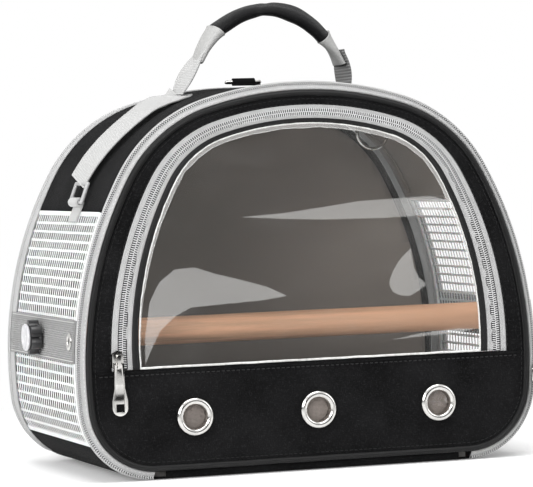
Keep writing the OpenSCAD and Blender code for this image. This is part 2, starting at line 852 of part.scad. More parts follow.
base_cover();
base_board();
top_panel();
top_lining();
side_net_left();
side_net_right();
side_band_left();
side_band_right();
band_eyelet_left();
band_eyelet_right();
front_zip_shell_half();
rear_zip_shell_half();
front_hinge_fold();
rear_hinge_fold();
anchor_loop_left();
anchor_loop_right();
lower_strap_left();
lower_strap_right();
top_ring_tab();
inner_ring_tab();
perch();
perch_inserts();
inner_washers();
outer_washers();
front_frame();
front_lower_panel();
front_lining();
front_piping();
front_zip_door_half();
window_zip_fixed_half();
vent_eyelets();
vent_washers();
window_pane();
window_welt();
window_binding();
window_zip_flap_half();
rear_panel();
rear_lining();
rear_piping();
rear_zip_door_half();
window_slider();
window_pull();
front_slider();
front_pull();
rear_slider();
rear_pull();
knob_left();
knob_right();
grip();
grip_sleeves();
upper_strap_left();
upper_strap_right();
strap_ring_left();
strap_ring_right();
top_ring();
inner_ring();
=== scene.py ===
"""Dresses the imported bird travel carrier: cloth, zips, nets, clear window, handle and metal parts."""

import math

import bmesh
import bpy
from mathutils import Matrix, Vector, geometry, noise


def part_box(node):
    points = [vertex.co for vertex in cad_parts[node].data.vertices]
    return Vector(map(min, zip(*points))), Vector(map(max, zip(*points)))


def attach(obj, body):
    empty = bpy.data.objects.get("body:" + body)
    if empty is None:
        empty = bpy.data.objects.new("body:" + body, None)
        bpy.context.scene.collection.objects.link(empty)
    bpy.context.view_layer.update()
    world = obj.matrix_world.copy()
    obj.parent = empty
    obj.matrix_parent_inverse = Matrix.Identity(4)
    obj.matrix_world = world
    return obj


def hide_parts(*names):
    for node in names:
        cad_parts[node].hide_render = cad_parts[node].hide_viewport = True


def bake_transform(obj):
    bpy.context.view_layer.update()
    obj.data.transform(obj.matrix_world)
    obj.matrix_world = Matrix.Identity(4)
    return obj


bl_info = {
    "name": "Bird Travel Carrier",
    "version": (1, 0, 0),
    "blender": (4, 5, 0),
    "location": "3D View > Sidebar > Carrier",
    "description": "Builds the cloth, zips, nets, window and handle of a bird travel carrier round its packed frame",
    "category": "Object",
}

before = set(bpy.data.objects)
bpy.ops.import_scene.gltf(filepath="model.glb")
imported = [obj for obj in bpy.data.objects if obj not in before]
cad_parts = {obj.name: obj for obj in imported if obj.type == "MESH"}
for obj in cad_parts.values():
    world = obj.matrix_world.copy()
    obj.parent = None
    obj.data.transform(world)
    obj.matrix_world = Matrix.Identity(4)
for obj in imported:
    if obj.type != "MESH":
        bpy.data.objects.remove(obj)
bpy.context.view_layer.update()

MM = 0.001
CLOTH_MAP = "cloth"


# ---------------------------------------------------------------- the loaf-shaped outline

# All lengths below are in millimetres.
LIFT = 6.4  # the end panels' lower edge over the ground
REACH = 6.4  # the shell's outside over the panels' edge
PANEL_Y = 102.0  # faces of the end panels
SHELL_Y = 95.6  # edges of the shell's cloth
SEAM_Z = 83.0  # seam between the front frame and the lower panel
NET_LOW, NET_HIGH = 27.0, 202.0
PERCH_Z = 106.0
ZIP_RUN = 8.63  # both tapes of a perimeter zip, from the panel to the shell
ZIP_SPLIT = 5.7  # where its coils meet
VENT_X, VENT_Z, VENT_PITCH, VENT_R = 3.0, 46.0, 99.0, 9.9
RING_FRONT = 28.0  # the strap rings' place before the middle
WINDOW_LOW = 84.0  # the flap's lower edge
WINDOW_SPLIT = 28.4  # inset at which the window's coils meet
WINDOW_AROUND = 620  # rough length of the window's edge
HANDLE_FOOT = (70.0, 290.7)


def spread(first, last, parts):
    """Evenly spaced values, both ends included."""
    return [first + (last - first) * k / parts for k in range(parts + 1)]


def circle(count):
    """Angles evenly spaced round a full turn."""
    return [2 * math.pi * k / count for k in range(count)]


def lengths_of(points):
    """The length from the first point to each one."""
    lengths = [0.0]
    for a, b in zip(points, points[1:]):
        lengths.append(lengths[-1] + math.dist(a, b))
    return lengths


def held(share):
    """The value, held between 0 and 1."""
    return min(1.0, max(0.0, share))


def meeting(a, ra, b, rb):
    """The right-hand point at distances ra from a and rb from b."""
    gap = math.dist(a, b)
    along = ((b[0] - a[0]) / gap, (b[1] - a[1]) / gap)
    reach = (ra * ra - rb * rb + gap * gap) / (2 * gap)
    side = math.sqrt(ra * ra - reach * reach)
    spots = [
        (a[0] + along[0] * reach + s * along[1] * side, a[1] + along[1] * reach - s * along[0] * side)
        for s in (1, -1)
    ]
    return max(spots)


def bearing(a, b):
    """The direction from a to b."""
    return math.atan2(b[1] - a[1], b[0] - a[0])


class Loaf:
    """The edge of the end panels in millimetres: tangent arcs, so every offset keeps the same stations."""

    def __init__(self, width=360.0, height=284.0, side=300.0, shoulder=110.0, top=270.0, corner=52.0):
        side_c = (width / 2 - side, corner + 24)
        top_c = (0.0, height - top)
        corner_c = (side_c[0] + math.sqrt((side - corner) ** 2 - 24 ** 2), corner)
        shoulder_c = meeting(side_c, side - shoulder, top_c, top - shoulder)
        low, high = bearing(side_c, corner_c), bearing(side_c, shoulder_c)
        top_a = bearing(top_c, shoulder_c)
        self.flat = corner_c[0]
        self.arcs = [
            (corner_c, corner, -math.pi / 2, low),
            (side_c, side, low, high),
            (shoulder_c, shoulder, high, top_a),
            (top_c, top, top_a, math.pi / 2),
        ]
        self.half = self.flat + sum(r * (b - a) for _, r, a, b in self.arcs)

    def station(self, s):
        """Centre, radius and angle at the length s: 0 at the middle of the bottom, half at the crown."""
        s %= 2 * self.half
        mirrored = s > self.half
        rest = 2 * self.half - s if mirrored else s
        if rest <= self.flat:
            c, r, a = (rest, 0.0), 0.0, -math.pi / 2
        else:
            rest -= self.flat
            for c, r, a0, a1 in self.arcs:
                if rest <= r * (a1 - a0) + 1e-9:
                    break
                rest -= r * (a1 - a0)
            a = a0 + min(rest / r, a1 - a0)
        return ((-c[0], c[1]), r, math.pi - a) if mirrored else (c, r, a)

    def spot(self, s, o=0.0):
        """x, z and the outward direction at length s and outset o."""
        c, r, a = self.station(s)
        x, z = math.cos(a), math.sin(a)
        return c[0] + (r + o) * x, c[1] + (r + o) * z + LIFT, x, z

    def length_at(self, z, o=0.0):
        """The length on the right half at which the outset edge reaches the height z."""
        a, b = self.flat, self.half
        for _ in range(50):
            mid = (a + b) / 2
            if self.spot(mid, o)[1] < z:
                a = mid
            else:
                b = mid
        return (a + b) / 2

    def run(self, first, last, step):
        """Lengths from first to last, about a step apart."""
        return spread(first, last, max(2, round((last - first) / step)))

    def all_round(self, step):
        """Lengths once round, without the last one, which is the first again."""
        return self.run(0, 2 * self.half, step)[:-1]

    def over(self, z, step, o=REACH):
        """Lengths from the height z on the right over the crown to the same height on the left."""
        s = self.length_at(z, o)
        return self.run(s, 2 * self.half - s, step)


loaf = Loaf()
SIDES = ((-1, "left"), (1, "right"))
ENDS = ((-1, "front_door", "front"), (1, "rear_door", "rear"))
FRONTWARDS = Vector((0, -1, 0))
UPWARDS = Vector((0, 0, 1))


def crown_rise(i):
    """How much the window's outline is raised at the inset i."""
    return 8.5 + 0.36 * (i - 20)


def window_spot(i, t, low):
    """x, z and outward direction of the window's edge drawn in by i, with t from 0 right to 1 left."""
    a, b = loaf.flat, loaf.half
    for _ in range(40):
        mid = (a + b) / 2
        if loaf.spot(mid, -i)[1] + crown_rise(i) < low:
            a = mid
        else:
            b = mid
    s = a + (2 * loaf.half - 2 * a) * t
    x, z, nx, nz = loaf.spot(s, -i)
    return x, z + crown_rise(i), nx, nz


WINDOW_EDGES = {}


def window_edge(i, low, step):
    """Points along the window's edge drawn in by i, evenly spread."""
    n = round(WINDOW_AROUND / step)
    key = (i, low, n)
    if key not in WINDOW_EDGES:
        WINDOW_EDGES[key] = [window_spot(i, t, low) for t in spread(0, 1, n)]
    return WINDOW_EDGES[key]


def between(a, b, parts):
    """x, z and the share of the way for evenly spaced points from a to b."""
    return [(a[0] + (b[0] - a[0]) * t, a[1] + (b[1] - a[1]) * t, t) for t in spread(0, 1, parts)]


def point(s, y, o=0.0, side=1):
    """The point at the length s and the outset o at the depth y; side -1 mirrors it to the left."""
    x, z, _, _ = loaf.spot(s, o)
    return side * x, y, z


def outward(s, side=1, y=0):
    """The way off the shell at the length s."""
    _, _, x, z = loaf.spot(s)
    return Vector((side * x, y, z))


def window_point(i, t, low, y):
    """The point of the window's edge drawn in by i, at the depth y."""
    x, z, _, _ = window_spot(i, t, low)
    return x, y, z


def slant(s, h):
    """Outset and front depth across a perimeter zip: s along the tape, h out of it."""
    return (s + h) * math.sqrt(0.5), -(PANEL_Y - 0.3) + (s - h) * math.sqrt(0.5)


def ripple(x, y, z, size, seed=0.0):
    """Smooth noise from -1 to 1 with features of about the given size in millimetres."""
    return noise.noise(Vector((x / size + seed, y / size - seed, z / size + 2 * seed)))


# ---------------------------------------------------------------- shader maths

class Wire:
    """A node's output that takes part in arithmetic, so that shader maths reads as an expression."""

    def __init__(self, tree, socket):
        self.tree = tree
        self.socket = socket

    def maths(self, operation, *values):
        """A Math node on the values."""
        node = self.tree.nodes.new("ShaderNodeMath")
        node.operation = operation
        for socket, value in zip(node.inputs, values):
            plug(self.tree, socket, value)
        return Wire(self.tree, node.outputs[0])

    def __add__(self, other):
        return self.maths("ADD", self, other)

    def __radd__(self, other):
        return self.maths("ADD", other, self)

    def __sub__(self, other):
        return self.maths("SUBTRACT", self, other)

    def __rsub__(self, other):
        return self.maths("SUBTRACT", other, self)

    def __mul__(self, other):
        return self.maths("MULTIPLY", self, other)

    def __rmul__(self, other):
        return self.maths("MULTIPLY", other, self)

    def __pow__(self, other):
        return self.maths("POWER", self, other)

    def __abs__(self):
        return self.maths("ABSOLUTE", self)

    def sin(self):
        return self.maths("SINE", self)

    def fract(self):
        return self.maths("FRACT", self)

    def least(self, other):
        return self.maths("MINIMUM", self, other)

    def most(self, other):
        return self.maths("MAXIMUM", self, other)

    def span(self, low, high):
        """0 at low and 1 at high, held to that range."""
        return self.maths("MULTIPLY", self - low, 1 / (high - low)).most(0.0).least(1.0)


def plug(tree, socket, value):
    """Gives a socket a wire, another socket's output or a constant."""
    if isinstance(value, Wire):
        tree.links.new(value.socket, socket)
    elif isinstance(value, bpy.types.NodeSocket):
        tree.links.new(value, socket)
    else:
        if hasattr(socket.default_value, "__len__") and len(socket.default_value) == 4 and len(value) == 3:
            value = (*value, 1.0)
        socket.default_value = value


class Nodes:
    """A node tree with its output, emptied for new nodes."""

    def __init__(self, owner, output):
        owner.use_nodes = True
        self.tree = owner.node_tree
        self.tree.nodes.clear()
        self.out = self.tree.nodes.new("ShaderNodeOutput" + output)

    def node(self, kind, settings=None, inputs=None, out=0):
        """A node of any kind: its settings are set first, then its sockets get values or wires."""
        node = self.tree.nodes.new("ShaderNode" + kind)
        for key, value in (settings or {}).items():
            if key == "stops":
                ramp = node.color_ramp.elements
                while len(ramp) < len(value):
                    ramp.new(0.5)
                for stop, (place, colour) in zip(ramp, value):
                    stop.position = place
                    stop.color = (*colour, 1.0)
            else:
                setattr(node, key, value)
        for key, value in (inputs or {}).items():
            plug(self.tree, node.inputs[key], value)
        return Wire(self.tree, node.outputs[out])

    def shown(self, wire):
        """Makes the wire's shader the one that is seen."""
        plug(self.tree, self.out.inputs[0], wire)

    def directly(self):
        """1 for rays from the eye, also in a reflection or through the clear sheet."""
        rays = [self.node("LightPath", out=f"Is {kind} Ray") for kind in ("Camera", "Glossy", "Transmission")]
        return rays[0].most(rays[1]).most(rays[2])


CURVE_TOP = 200.0  # the height in millimetres that a ramp's white stands for


class Finish(Nodes):
    """One material. Constants go straight on its shader; what varies is built from wires."""

    def __init__(self, name, **constants):
        self.material = bpy.data.materials.new(name)
        super().__init__(self.material, "Material")
        self.shader = self.tree.nodes.new("ShaderNodeBsdfPrincipled")
        self.base = Wire(self.tree, self.shader.outputs[0])
        self.shown(self.base)
        self.set(**constants)

    def set(self, **values):
        """Gives the shader's sockets their values or wires."""
        for key, value in values.items():
            plug(self.tree, self.shader.inputs[key.replace("_", " ")], value)
        return self

    def place(self):
        """The object's own coordinates, in metres, as three wires and one vector."""
        at = self.node("TexCoord", out="Object")
        return [self.node("SeparateXYZ", inputs={0: at}, out=k) for k in range(3)] + [at]

    def cloth(self):
        """Lengths along and across the cloth, in metres, and both as a vector."""
        at = self.node("UVMap", {"uv_map": CLOTH_MAP})
        return self.node("SeparateXYZ", inputs={0: at}, out=0), self.node("SeparateXYZ", inputs={0: at}, out=1), at

    def cloud(self, at, scale, detail=2.0, rough=0.5):
        """Soft noise from 0 to 1; three scales stretch it differently in each direction."""
        if isinstance(scale, tuple):
            at, scale = self.node("Mapping", inputs={"Vector": at, "Scale": scale}), 1.0
        return self.node(
            "TexNoise", inputs={"Vector": at, "Scale": scale, "Detail": detail, "Roughness": rough}
        )

    def between(self, a, b, share):
        """A colour that goes from a to b with the share."""
        return self.node("Mix", {"data_type": "RGBA"}, {0: share, 6: a, 7: b}, out=2)

    def curve(self, along, points):
        """Heights in metres that follow straight lines between (length, height) points in millimetres."""
        low, high = points[0][0], points[-1][0]
        stops = [((a - low) / (high - low), (h / CURVE_TOP,) * 3) for a, h in points]
        ramp = self.node("ValToRGB", {"stops": stops}, {"Fac": along.span(low * MM, high * MM)})
        return ramp * (CURVE_TOP * MM)

    def worn(self, dark, light, share, rough, height, distance, strength=1.0):
        """Sets a colour from dark to light, the roughness, and a relief whose height is in metres."""
        self.set(Base_Color=self.between(dark, light, share), Roughness=rough)
        relief = self.node("Bump", inputs={"Height": height, "Distance": distance, "Strength": strength})
        return self.set(Normal=relief)


def waves(length, pitch, phase=0.0):
    """A sine over a wire of lengths, with the given pitch in metres."""
    return (length * (2 * math.pi / pitch) + phase).sin()


def oxford(name, dark, light, pitch=0.0011, rough=0.86, sheen=0.015):
    """Heathered plain-woven polyester: crossing yarns, mixed light fibres and soft rubbed places."""
    f = Finish(name, Sheen_Weight=sheen, Sheen_Roughness=0.4, Specular_IOR_Level=0.09)
    u, v, at = f.cloth()
    crossing = waves(u, pitch) * waves(v, pitch, 1.3)
    yarn = f.cloud(at, (300.0, 1500.0, 1.0), 3.0, 0.7)
    cross = f.cloud(at, (1500.0, 300.0, 1.0), 3.0, 0.7)
    rub = f.cloud(at, 22.0, 3.0, 0.6)
    fleck = yarn.most(cross).span(0.56, 0.76)
    return f.worn(
        dark, light, fleck * 0.75 + rub.span(0.35, 0.8) * 0.25,
        rough + rub * 0.1, crossing * 0.5 + yarn * 0.6 + cross * 0.6, 0.00022,
    )


def cord_cloth(name, dark, light):
    """Tight twill drawn round the piping."""
    f = Finish(name, Specular_IOR_Level=0.26)
    u, v, at = f.cloth()
    twill = waves(u + v, 0.0011)
    wear = f.cloud(at, 60.0, 4.0, 0.6)
    return f.worn(dark, light, wear.span(0.5, 0.85) * 0.6 + twill * 0.08, 0.26 + wear * 0.16, twill + wear, 0.00009)


def tape_cloth(name, colour, shade):
    """Knitted zip tape: slanting stitches that meet in narrow wales, with a firmer edge."""
    f = Finish(name, Sheen_Weight=0.3, Specular_IOR_Level=0.3)
    u, v, at = f.cloth()
    wale = (v * (1 / 0.0016)).fract()
    lean = abs(wale - 0.5) * 0.0016
    knit = waves(u + lean * 1.4, 0.00135)
    edge = waves(v, 0.0016)
    dust = f.cloud(at, 90.0, 3.0, 0.6)
    return f.worn(
        shade, colour, knit.span(-1.0, 0.2) * 0.65 + dust.span(0.3, 0.7) * 0.35,
        0.72 + dust * 0.15, knit + edge * 0.5, 0.00016,
    )


def nylon(name, colour, shade, rough=0.38):
    """Moulded or drawn nylon: slight gloss, faint unevenness."""
    f = Finish(name, Specular_IOR_Level=0.45)
    at = f.place()[3]
    spots = f.cloud(at, 400.0, 3.0, 0.6)
    broad = f.cloud(at, 25.0, 2.0, 0.5)
    return f.worn(
        shade, colour, spots.span(0.3, 0.62) * 0.5 + broad.span(0.3, 0.6) * 0.5,
        rough + spots * 0.16, spots, 0.00004,
    )


def coated_net(name, colour, shade):
    """Vinyl-coated yarn: milky, softly glossy, thicker where yarns cross."""
    f = Finish(name, Specular_IOR_Level=0.5, Subsurface_Weight=0.15, Subsurface_Scale=0.002)
    u, v, at = f.cloth()
    yarn = waves(v + u * 0.3, 0.0009)
    dirt = f.cloud(at, 40.0, 3.0, 0.6)
    return f.worn(shade, colour, dirt.span(0.25, 0.6) * 0.8 + yarn * 0.1 + 0.1, 0.34 + dirt * 0.2, yarn, 0.00006)


def ribbed_webbing(name, colour, shade, rib=0.0021, along=True, depth=0.0001, rib_share=0.3):
    """Polyester webbing with ribs across its length, or along it, and fine yarns over the ribs."""
    f = Finish(name, Sheen_Weight=0.35, Sheen_Roughness=0.35, Specular_IOR_Level=0.3)
    u, v, at = f.cloth()
    length, width = (u, v) if along else (v, u)
    ribs = waves(length, rib)
    yarn = waves(width + length * 0.5, 0.00085)
    fuzz = f.cloud(at, 700.0, 3.0, 0.6)
    hollow = ribs.span(-1.0, 0.1)
    light = hollow * rib_share + yarn * 0.08 + fuzz.span(0.3, 0.6) * 0.1 + (0.82 - rib_share)
    return f.worn(shade, colour, light, 0.7 + fuzz * 0.2, ribs + yarn * 0.25 + fuzz * 0.12, depth)


def lining_cloth(name, colour, shade):
    """Thin smooth taffeta lining with soft creases, paler towards the side that light reaches."""
    f = Finish(name, Sheen_Weight=0.15, Specular_IOR_Level=0.3)
    x = f.place()[0]
    at = f.cloth()[2]
    crease = f.cloud(at, (6.0, 11.0, 1.0), 3.0, 0.5)
    return f.worn(
        shade, colour, crease.span(0.25, 0.75) * 0.2 + x.span(-0.14, 0.1) * 0.8,
        0.62 + crease * 0.2, crease, 0.0012, 0.5,
    )


def bright_metal(name, colour, rough=0.12, scratch=0.12):
    """Polished plated metal with fine handling scratches."""
    f = Finish(name, Metallic=1.0)
    at = f.place()[3]
    lines = f.cloud(at, (900.0, 900.0, 90.0), 3.0, 0.7)
    smear = f.cloud(at, 120.0, 3.0, 0.6)
    return f.worn(
        tuple(c * 0.82 for c in colour), colour, smear.span(0.3, 0.6),
        rough + lines.span(0.5, 0.8) * scratch + smear * 0.06, lines, 0.00002,
    )


def beech(name, pale, deep):
    """Turned beech rod: grain along its length, short dark flecks, a thin wax sheen, and painted light that pales it
    towards +x.
    """
    f = Finish(name, Specular_IOR_Level=0.35)
    x, _, _, at = f.place()
    grain = f.cloud(at, (9.0, 170.0, 170.0), 5.0, 0.6)
    pores = f.cloud(at, (160.0, 2200.0, 2200.0), 2.0, 0.5)
    band = f.cloud(at, (3.0, 60.0, 60.0), 2.0, 0.5)
    tone = f.between(deep, pale, grain.span(0.3, 0.68))
    warm = f.between(tone, tuple(c * 0.72 for c in deep), pores.span(0.62, 0.78) * 0.6)
    # Random rubbed bands, and a rise towards +x: painted light on the side that the lamps reach.
    wear_and_painted_light = band.span(0.4, 0.7) * 0.15 + x.span(-0.14, 0.15) * 0.85
    return f.worn(warm, pale, wear_and_painted_light, 0.5 + grain * 0.15, grain + pores * -0.6, 0.00025)


def moulded(name, colour, shade, rough=0.3, coat=0.2):
    """Injection-moulded plastic with a fine spark-eroded grain."""
    f = Finish(name, Coat_Weight=coat, Coat_Roughness=0.2)
    at = f.place()[3]
    grit = f.cloud(at, 1400.0, 2.0, 0.6)
    rub = f.cloud(at, 80.0, 3.0, 0.6)
    return f.worn(shade, colour, rub.span(0.35, 0.7), rough + rub * 0.15, grit, 0.00005)


def grained(name, colour, shade):
    """Soft coated sleeve with a pebbled grain, darker in the hollows."""
    f = Finish(name, Specular_IOR_Level=0.4)
    at = f.cloth()[2]
    cells = f.node("TexVoronoi", {"feature": "F1"}, {"Vector": at, "Scale": 900.0})
    creases = f.cloud(at, 90.0, 3.0, 0.5)
    return f.worn(
        shade, colour, 1 - cells.span(0.35, 0.8) * 0.3 - creases.span(0.5, 0.85) * 0.2,
        0.5 + cells * 0.2, creases - cells * 0.5, 0.00012,
    )


# The upper and the lower outline of each painted reflection in the pane, a pale streak painted where the sheet bends,
# as x and z.
PAINTED_REFLECTIONS = (
    ([(-54, 195.5), (-20, 197.5), (12, 201), (40, 204.5), (100, 206.5), (113, 203)],
     [(-54, 194.5), (-20, 192), (12, 190.5), (60, 190), (100, 191), (113, 196)]),
    ([(-134, 104), (-129, 134), (-121, 149), (-109, 158), (-93, 159), (-77, 153.5), (-56, 148), (-36, 142),
      (-20, 134.5)],
     [(-134, 86), (-129, 97), (-121, 112), (-109, 122), (-97, 128), (-70, 129.5), (-40, 131), (-20, 133.5)]),
    ([(63, 141), (66, 149), (72, 158), (82, 167), (84, 152), (88, 144), (94, 139)],
     [(63, 139), (66, 133), (72, 130), (80, 129), (86, 132), (94, 137)]),
    ([(66, 97), (90, 101), (120, 103), (134, 102)], [(66, 96), (90, 97.5), (120, 99), (134, 101)]),
)


def clear_vinyl(name, haze=0.025, painted_reflections=()):
    """Flexible clear sheet: see-through, glossy where it turns from the eye, with painted reflections: a pale streak
    painted wherever it bends.
    """
    f = Finish(name, Base_Color=(0.95, 0.94, 0.92), Roughness=0.06, Specular_IOR_Level=0.6)
    x, _, z, at = f.place()
    cloudy = f.cloud(at, (14.0, 14.0, 30.0), 4.0, 0.6)
    pale = 0.0
    for upper, lower in painted_reflections:
        within = (f.curve(x, upper) - z).least(z - f.curve(x, lower)).span(0.0, 0.0009)
        ends = (x - upper[0][0] * MM).least(upper[-1][0] * MM - x).span(0.0, 0.001)
        pale = pale + within * ends
    clear = f.node("BsdfTransparent", inputs={"Color": (0.985, 0.99, 0.99)})
    facing = f.node("LayerWeight", inputs={"Blend": 0.22}, out="Fresnel")
    # Inside each streak, pale raises the share of the white opaque shader: a painted reflection.
    share = facing * 0.3 + haze + cloudy.span(0.5, 0.8) * 0.015 + pale * 0.115
    mix = f.node("MixShader", inputs={0: share, 1: clear, 2: f.base})
    f.shown(mix)
    return f


# ---------------------------------------------------------------- mesh making

# Share of a stitch's length, its size there and how far it stands up.
STITCH = ((0, 0.35, -0.5), (0.18, 0.9, 0.35), (0.5, 1, 0.6), (0.82, 0.9, 0.35), (1, 0.35, -0.5))


class Maker:
    """Collects lofts, plates and stitches in millimetres, then becomes one object in metres."""

    def __init__(self):
        self.mesh = bmesh.new()
        self.map = self.mesh.loops.layers.uv.new(CLOTH_MAP)

    def face(self, verts, places):
        """A face with its places on the cloth; one that is there already is left out."""
        try:
            face = self.mesh.faces.new(verts)
        except ValueError:
            return
        face.smooth = True
        for corner, place in zip(face.loops, places):
            corner[self.map].uv = place

    def loft(self, rows, ring=True, closed=False, caps=True, along=None, across=None):
        """Skins cross-sections. ring closes each section and closed joins the last one to the first."""
        n, m = len(rows[0]), len(rows)
        verts = [[self.mesh.verts.new(Vector(p) * MM) for p in row] for row in rows]
        if along is None:
            along = [0.0]
            for i in range(m):
                a, b = rows[i], rows[(i + 1) % m]
                along.append(along[-1] + sum(math.dist(p, q) for p, q in zip(a, b)) / n * MM)
        if across is None:
            across = [0.0]
            mid = rows[m // 2]
            for k in range(n):
                across.append(across[-1] + math.dist(mid[k], mid[(k + 1) % n]) * MM)
        for i in range(m if closed else m - 1):
            for k in range(n if ring else n - 1):
                j, l = (i + 1) % m, (k + 1) % n
                self.face(
                    (verts[i][k], verts[i][l], verts[j][l], verts[j][k]),
                    (
                        (along[i], across[k]), (along[i], across[k + 1]),
                        (along[i + 1], across[k + 1]), (along[i + 1], across[k]),
                    ),
                )
        if ring and caps and not closed:
            for row, u in ((verts[0], along[0]), (verts[-1], along[m - 1])):
                self.face(row, [(u, across[k]) for k in range(n)])
        return self

    def tube(self, path, radius, sides=8, flat=1.0, up=UPWARDS):
        """A round or flattened tube along a path of points."""
        rows = []
        points = [Vector(p) for p in path]
        for i, p in enumerate(points):
            way = (points[min(i + 1, len(points) - 1)] - points[max(i - 1, 0)]).normalized()
            side = way.cross(up).normalized()
            top = side.cross(way)
            size = radius(i / (len(points) - 1)) if callable(radius) else radius
            rows.append([
                p + side * math.cos(a) * size + top * math.sin(a) * size * flat for a in circle(sides)
            ])
        return self.loft(rows)

    def plate(self, edge, holes, height, thick, spacing, lift=lambda x, z: 0.0, front=-1):
        """A sheet of x and z at a depth, cut to an edge with round holes, and moved out by lift."""
        points = [Vector(p) for p in edge]
        edges = [(i, (i + 1) % len(edge)) for i in range(len(edge))]
        for cx, cz, r in holes:
            n = max(24, round(2 * math.pi * r / spacing * 2))
            first = len(points)
            points += [Vector((cx + r * math.cos(a), cz + r * math.sin(a))) for a in circle(n)]
            edges += [(first + k, first + (k + 1) % n) for k in range(n)]
        xs, zs = [p[0] for p in edge], [p[1] for p in edge]
        x = min(xs) + spacing * 0.7
        while x < max(xs):
            z = min(zs) + spacing * 0.7
            while z < max(zs):
                spot = (x, z)
                clear = all(math.dist(spot, (cx, cz)) > r + spacing * 0.4 for cx, cz, r in holes)
                if clear and inside(spot, edge):
                    points.append(Vector(spot))
                z += spacing
            x += spacing
        flat, _, faces, *_ = geometry.delaunay_2d_cdt(points, edges, [], 0, 1e-4)
        keep = []
        for tri in faces:
            cx, cz = (sum(flat[k][j] for k in tri) / 3 for j in (0, 1))
            if inside((cx, cz), edge) and all(math.dist((cx, cz), (hx, hz)) > r for hx, hz, r in holes):
                keep.append(tri)
        outer, inner = (
            [self.mesh.verts.new((p[0] * MM, (height + front * (lift(*p) - sunk)) * MM, p[1] * MM)) for p in flat]
            for sunk in (0.0, thick)
        )
        counts = {}
        for tri in keep:
            places = [(flat[k][0] * MM, flat[k][1] * MM) for k in tri]
            self.face([outer[k] for k in tri], places)
            self.face([inner[k] for k in reversed(tri)], places[::-1])
            for a, b in ((tri[0], tri[1]), (tri[1], tri[2]), (tri[2], tri[0])):
                counts[(min(a, b), max(a, b))] = counts.get((min(a, b), max(a, b)), 0) + 1
        for (a, b), count in counts.items():
            if count == 1:
                places = [(flat[k][0] * MM, flat[k][1] * MM) for k in (a, b, b, a)]
                self.face((outer[a], outer[b], inner[b], inner[a]), places)
        return self

    def stitches(self, path, out, length=2.6, gap=1.1, wide=0.45, high=0.3):
        """Thread stitches laid along a path of points; out is each point's way off the cloth."""
        done = 0.0
        points = [Vector(p) for p in path]
        lengths = lengths_of(points)

        def at(d):
            """The point and the way off the cloth at the length d."""
            k = 1
            while k < len(lengths) - 1 and lengths[k] < d:
                k += 1
            share = (d - lengths[k - 1]) / max(lengths[k] - lengths[k - 1], 1e-9)
            up = out[k] if isinstance(out, list) else out
            return points[k - 1].lerp(points[k], share), Vector(up).normalized()

        while done + length < lengths[-1]:
            (a, up), (b, _) = at(done), at(done + length)
            way = (b - a).normalized()
            side = way.cross(up).normalized()
            rows = []
            for share, size, rise in STITCH:
                c = a.lerp(b, share) + up * high * rise
                rows.append([
                    c + side * math.cos(t) * wide * size + up * math.sin(t) * high * size
                    for t in circle(6)
                ])
            self.loft(rows)
            done += length + gap
        return self

    def done(self, name, look, body, *replaced, slot=None, subdivide=0, hard=None):
        """Turns what was collected into an object that rides on its body; one given two bodies is left unattached."""
        bmesh.ops.recalc_face_normals(self.mesh, faces=self.mesh.faces)
        data = bpy.data.meshes.new(name)
        self.mesh.to_mesh(data)
        self.mesh.free()
        if hard is not None:
            data.set_sharp_from_angle(angle=math.radians(hard))
        return placed(name, data, look, body, replaced, slot, subdivide)


def placed(name, data, look, body, replaced, slot=None, subdivide=0):
    """Makes the object of a mesh, with its finish, its body and the nodes that it stands for."""
    obj = bpy.data.objects.new(name, data)
    bpy.context.collection.objects.link(obj)
    data.materials.append(finish(look).material)
    if subdivide:
        mod = obj.modifiers.new("Smooth", "SUBSURF")
        mod.levels = mod.render_levels = subdivide
    if isinstance(body, str):
        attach(obj, body)
    else:
        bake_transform(obj)
    slot or finish(look).slot
    if replaced:
        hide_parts(*replaced)
    return obj


def inside(p, edge):
    """True if the point lies within the closed edge."""
    hit = False
    x, z = p
    for (x0, z0), (x1, z1) in zip(edge, edge[1:] + edge[:1]):
        if (z0 > z) != (z1 > z) and x < (x1 - x0) * (z - z0) / (z1 - z0) + x0:
            hit = not hit
    return hit


def copy_of(node, name, look, body, bevel=0.25):
    """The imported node's form with softened edges, standing for the node."""
    work = bmesh.new()
    work.from_mesh(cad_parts[node].data)
    bmesh.ops.remove_doubles(work, verts=work.verts, dist=0.00001)
    bmesh.ops.dissolve_limit(work, angle_limit=math.radians(2), verts=work.verts, edges=work.edges)
    if bevel:
        sharp = math.radians(35)
        edges = [e for e in work.edges if len(e.link_faces) == 2 and e.calc_face_angle(0) > sharp]
        bmesh.ops.bevel(
            work, geom=edges, offset=bevel * MM, segments=2, affect="EDGES", profile=0.6, clamp_overlap=True
        )
    data = bpy.data.meshes.new(name)
    for face in work.faces:
        face.smooth = True
    work.to_mesh(data)
    work.free()
    data.set_sharp_from_angle(angle=math.radians(40))
    return placed(name, data, look, body, [node])


def dress(node, look):
    """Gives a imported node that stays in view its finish."""
    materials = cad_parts[node].data.materials
    materials.clear()
    materials.append(finish(look).material)


def turned(at, axis, profile, sides=64):
    """Rows of a lathe form: profile holds [along the axis, radius] pairs."""
    axis = Vector(axis).normalized()
    side = axis.orthogonal().normalized()
    up = axis.cross(side)
    return [
        [Vector(at) + axis * h + (side * math.cos(a) + up * math.sin(a)) * r for a in circle(sides)]
        for h, r in profile
    ]


# ---------------------------------------------------------------- settings

def length(name, description, value):
    """A length for the panel, given in millimetres."""
    return bpy.props.FloatProperty(name=name, description=description, default=value * MM, unit="LENGTH", precision=4)


def colour(name, description, value):
    """A colour for the panel."""
    return bpy.props.FloatVectorProperty(
        name=name, description=description, default=value, subtype="COLOR", size=3, min=0, max=1
    )


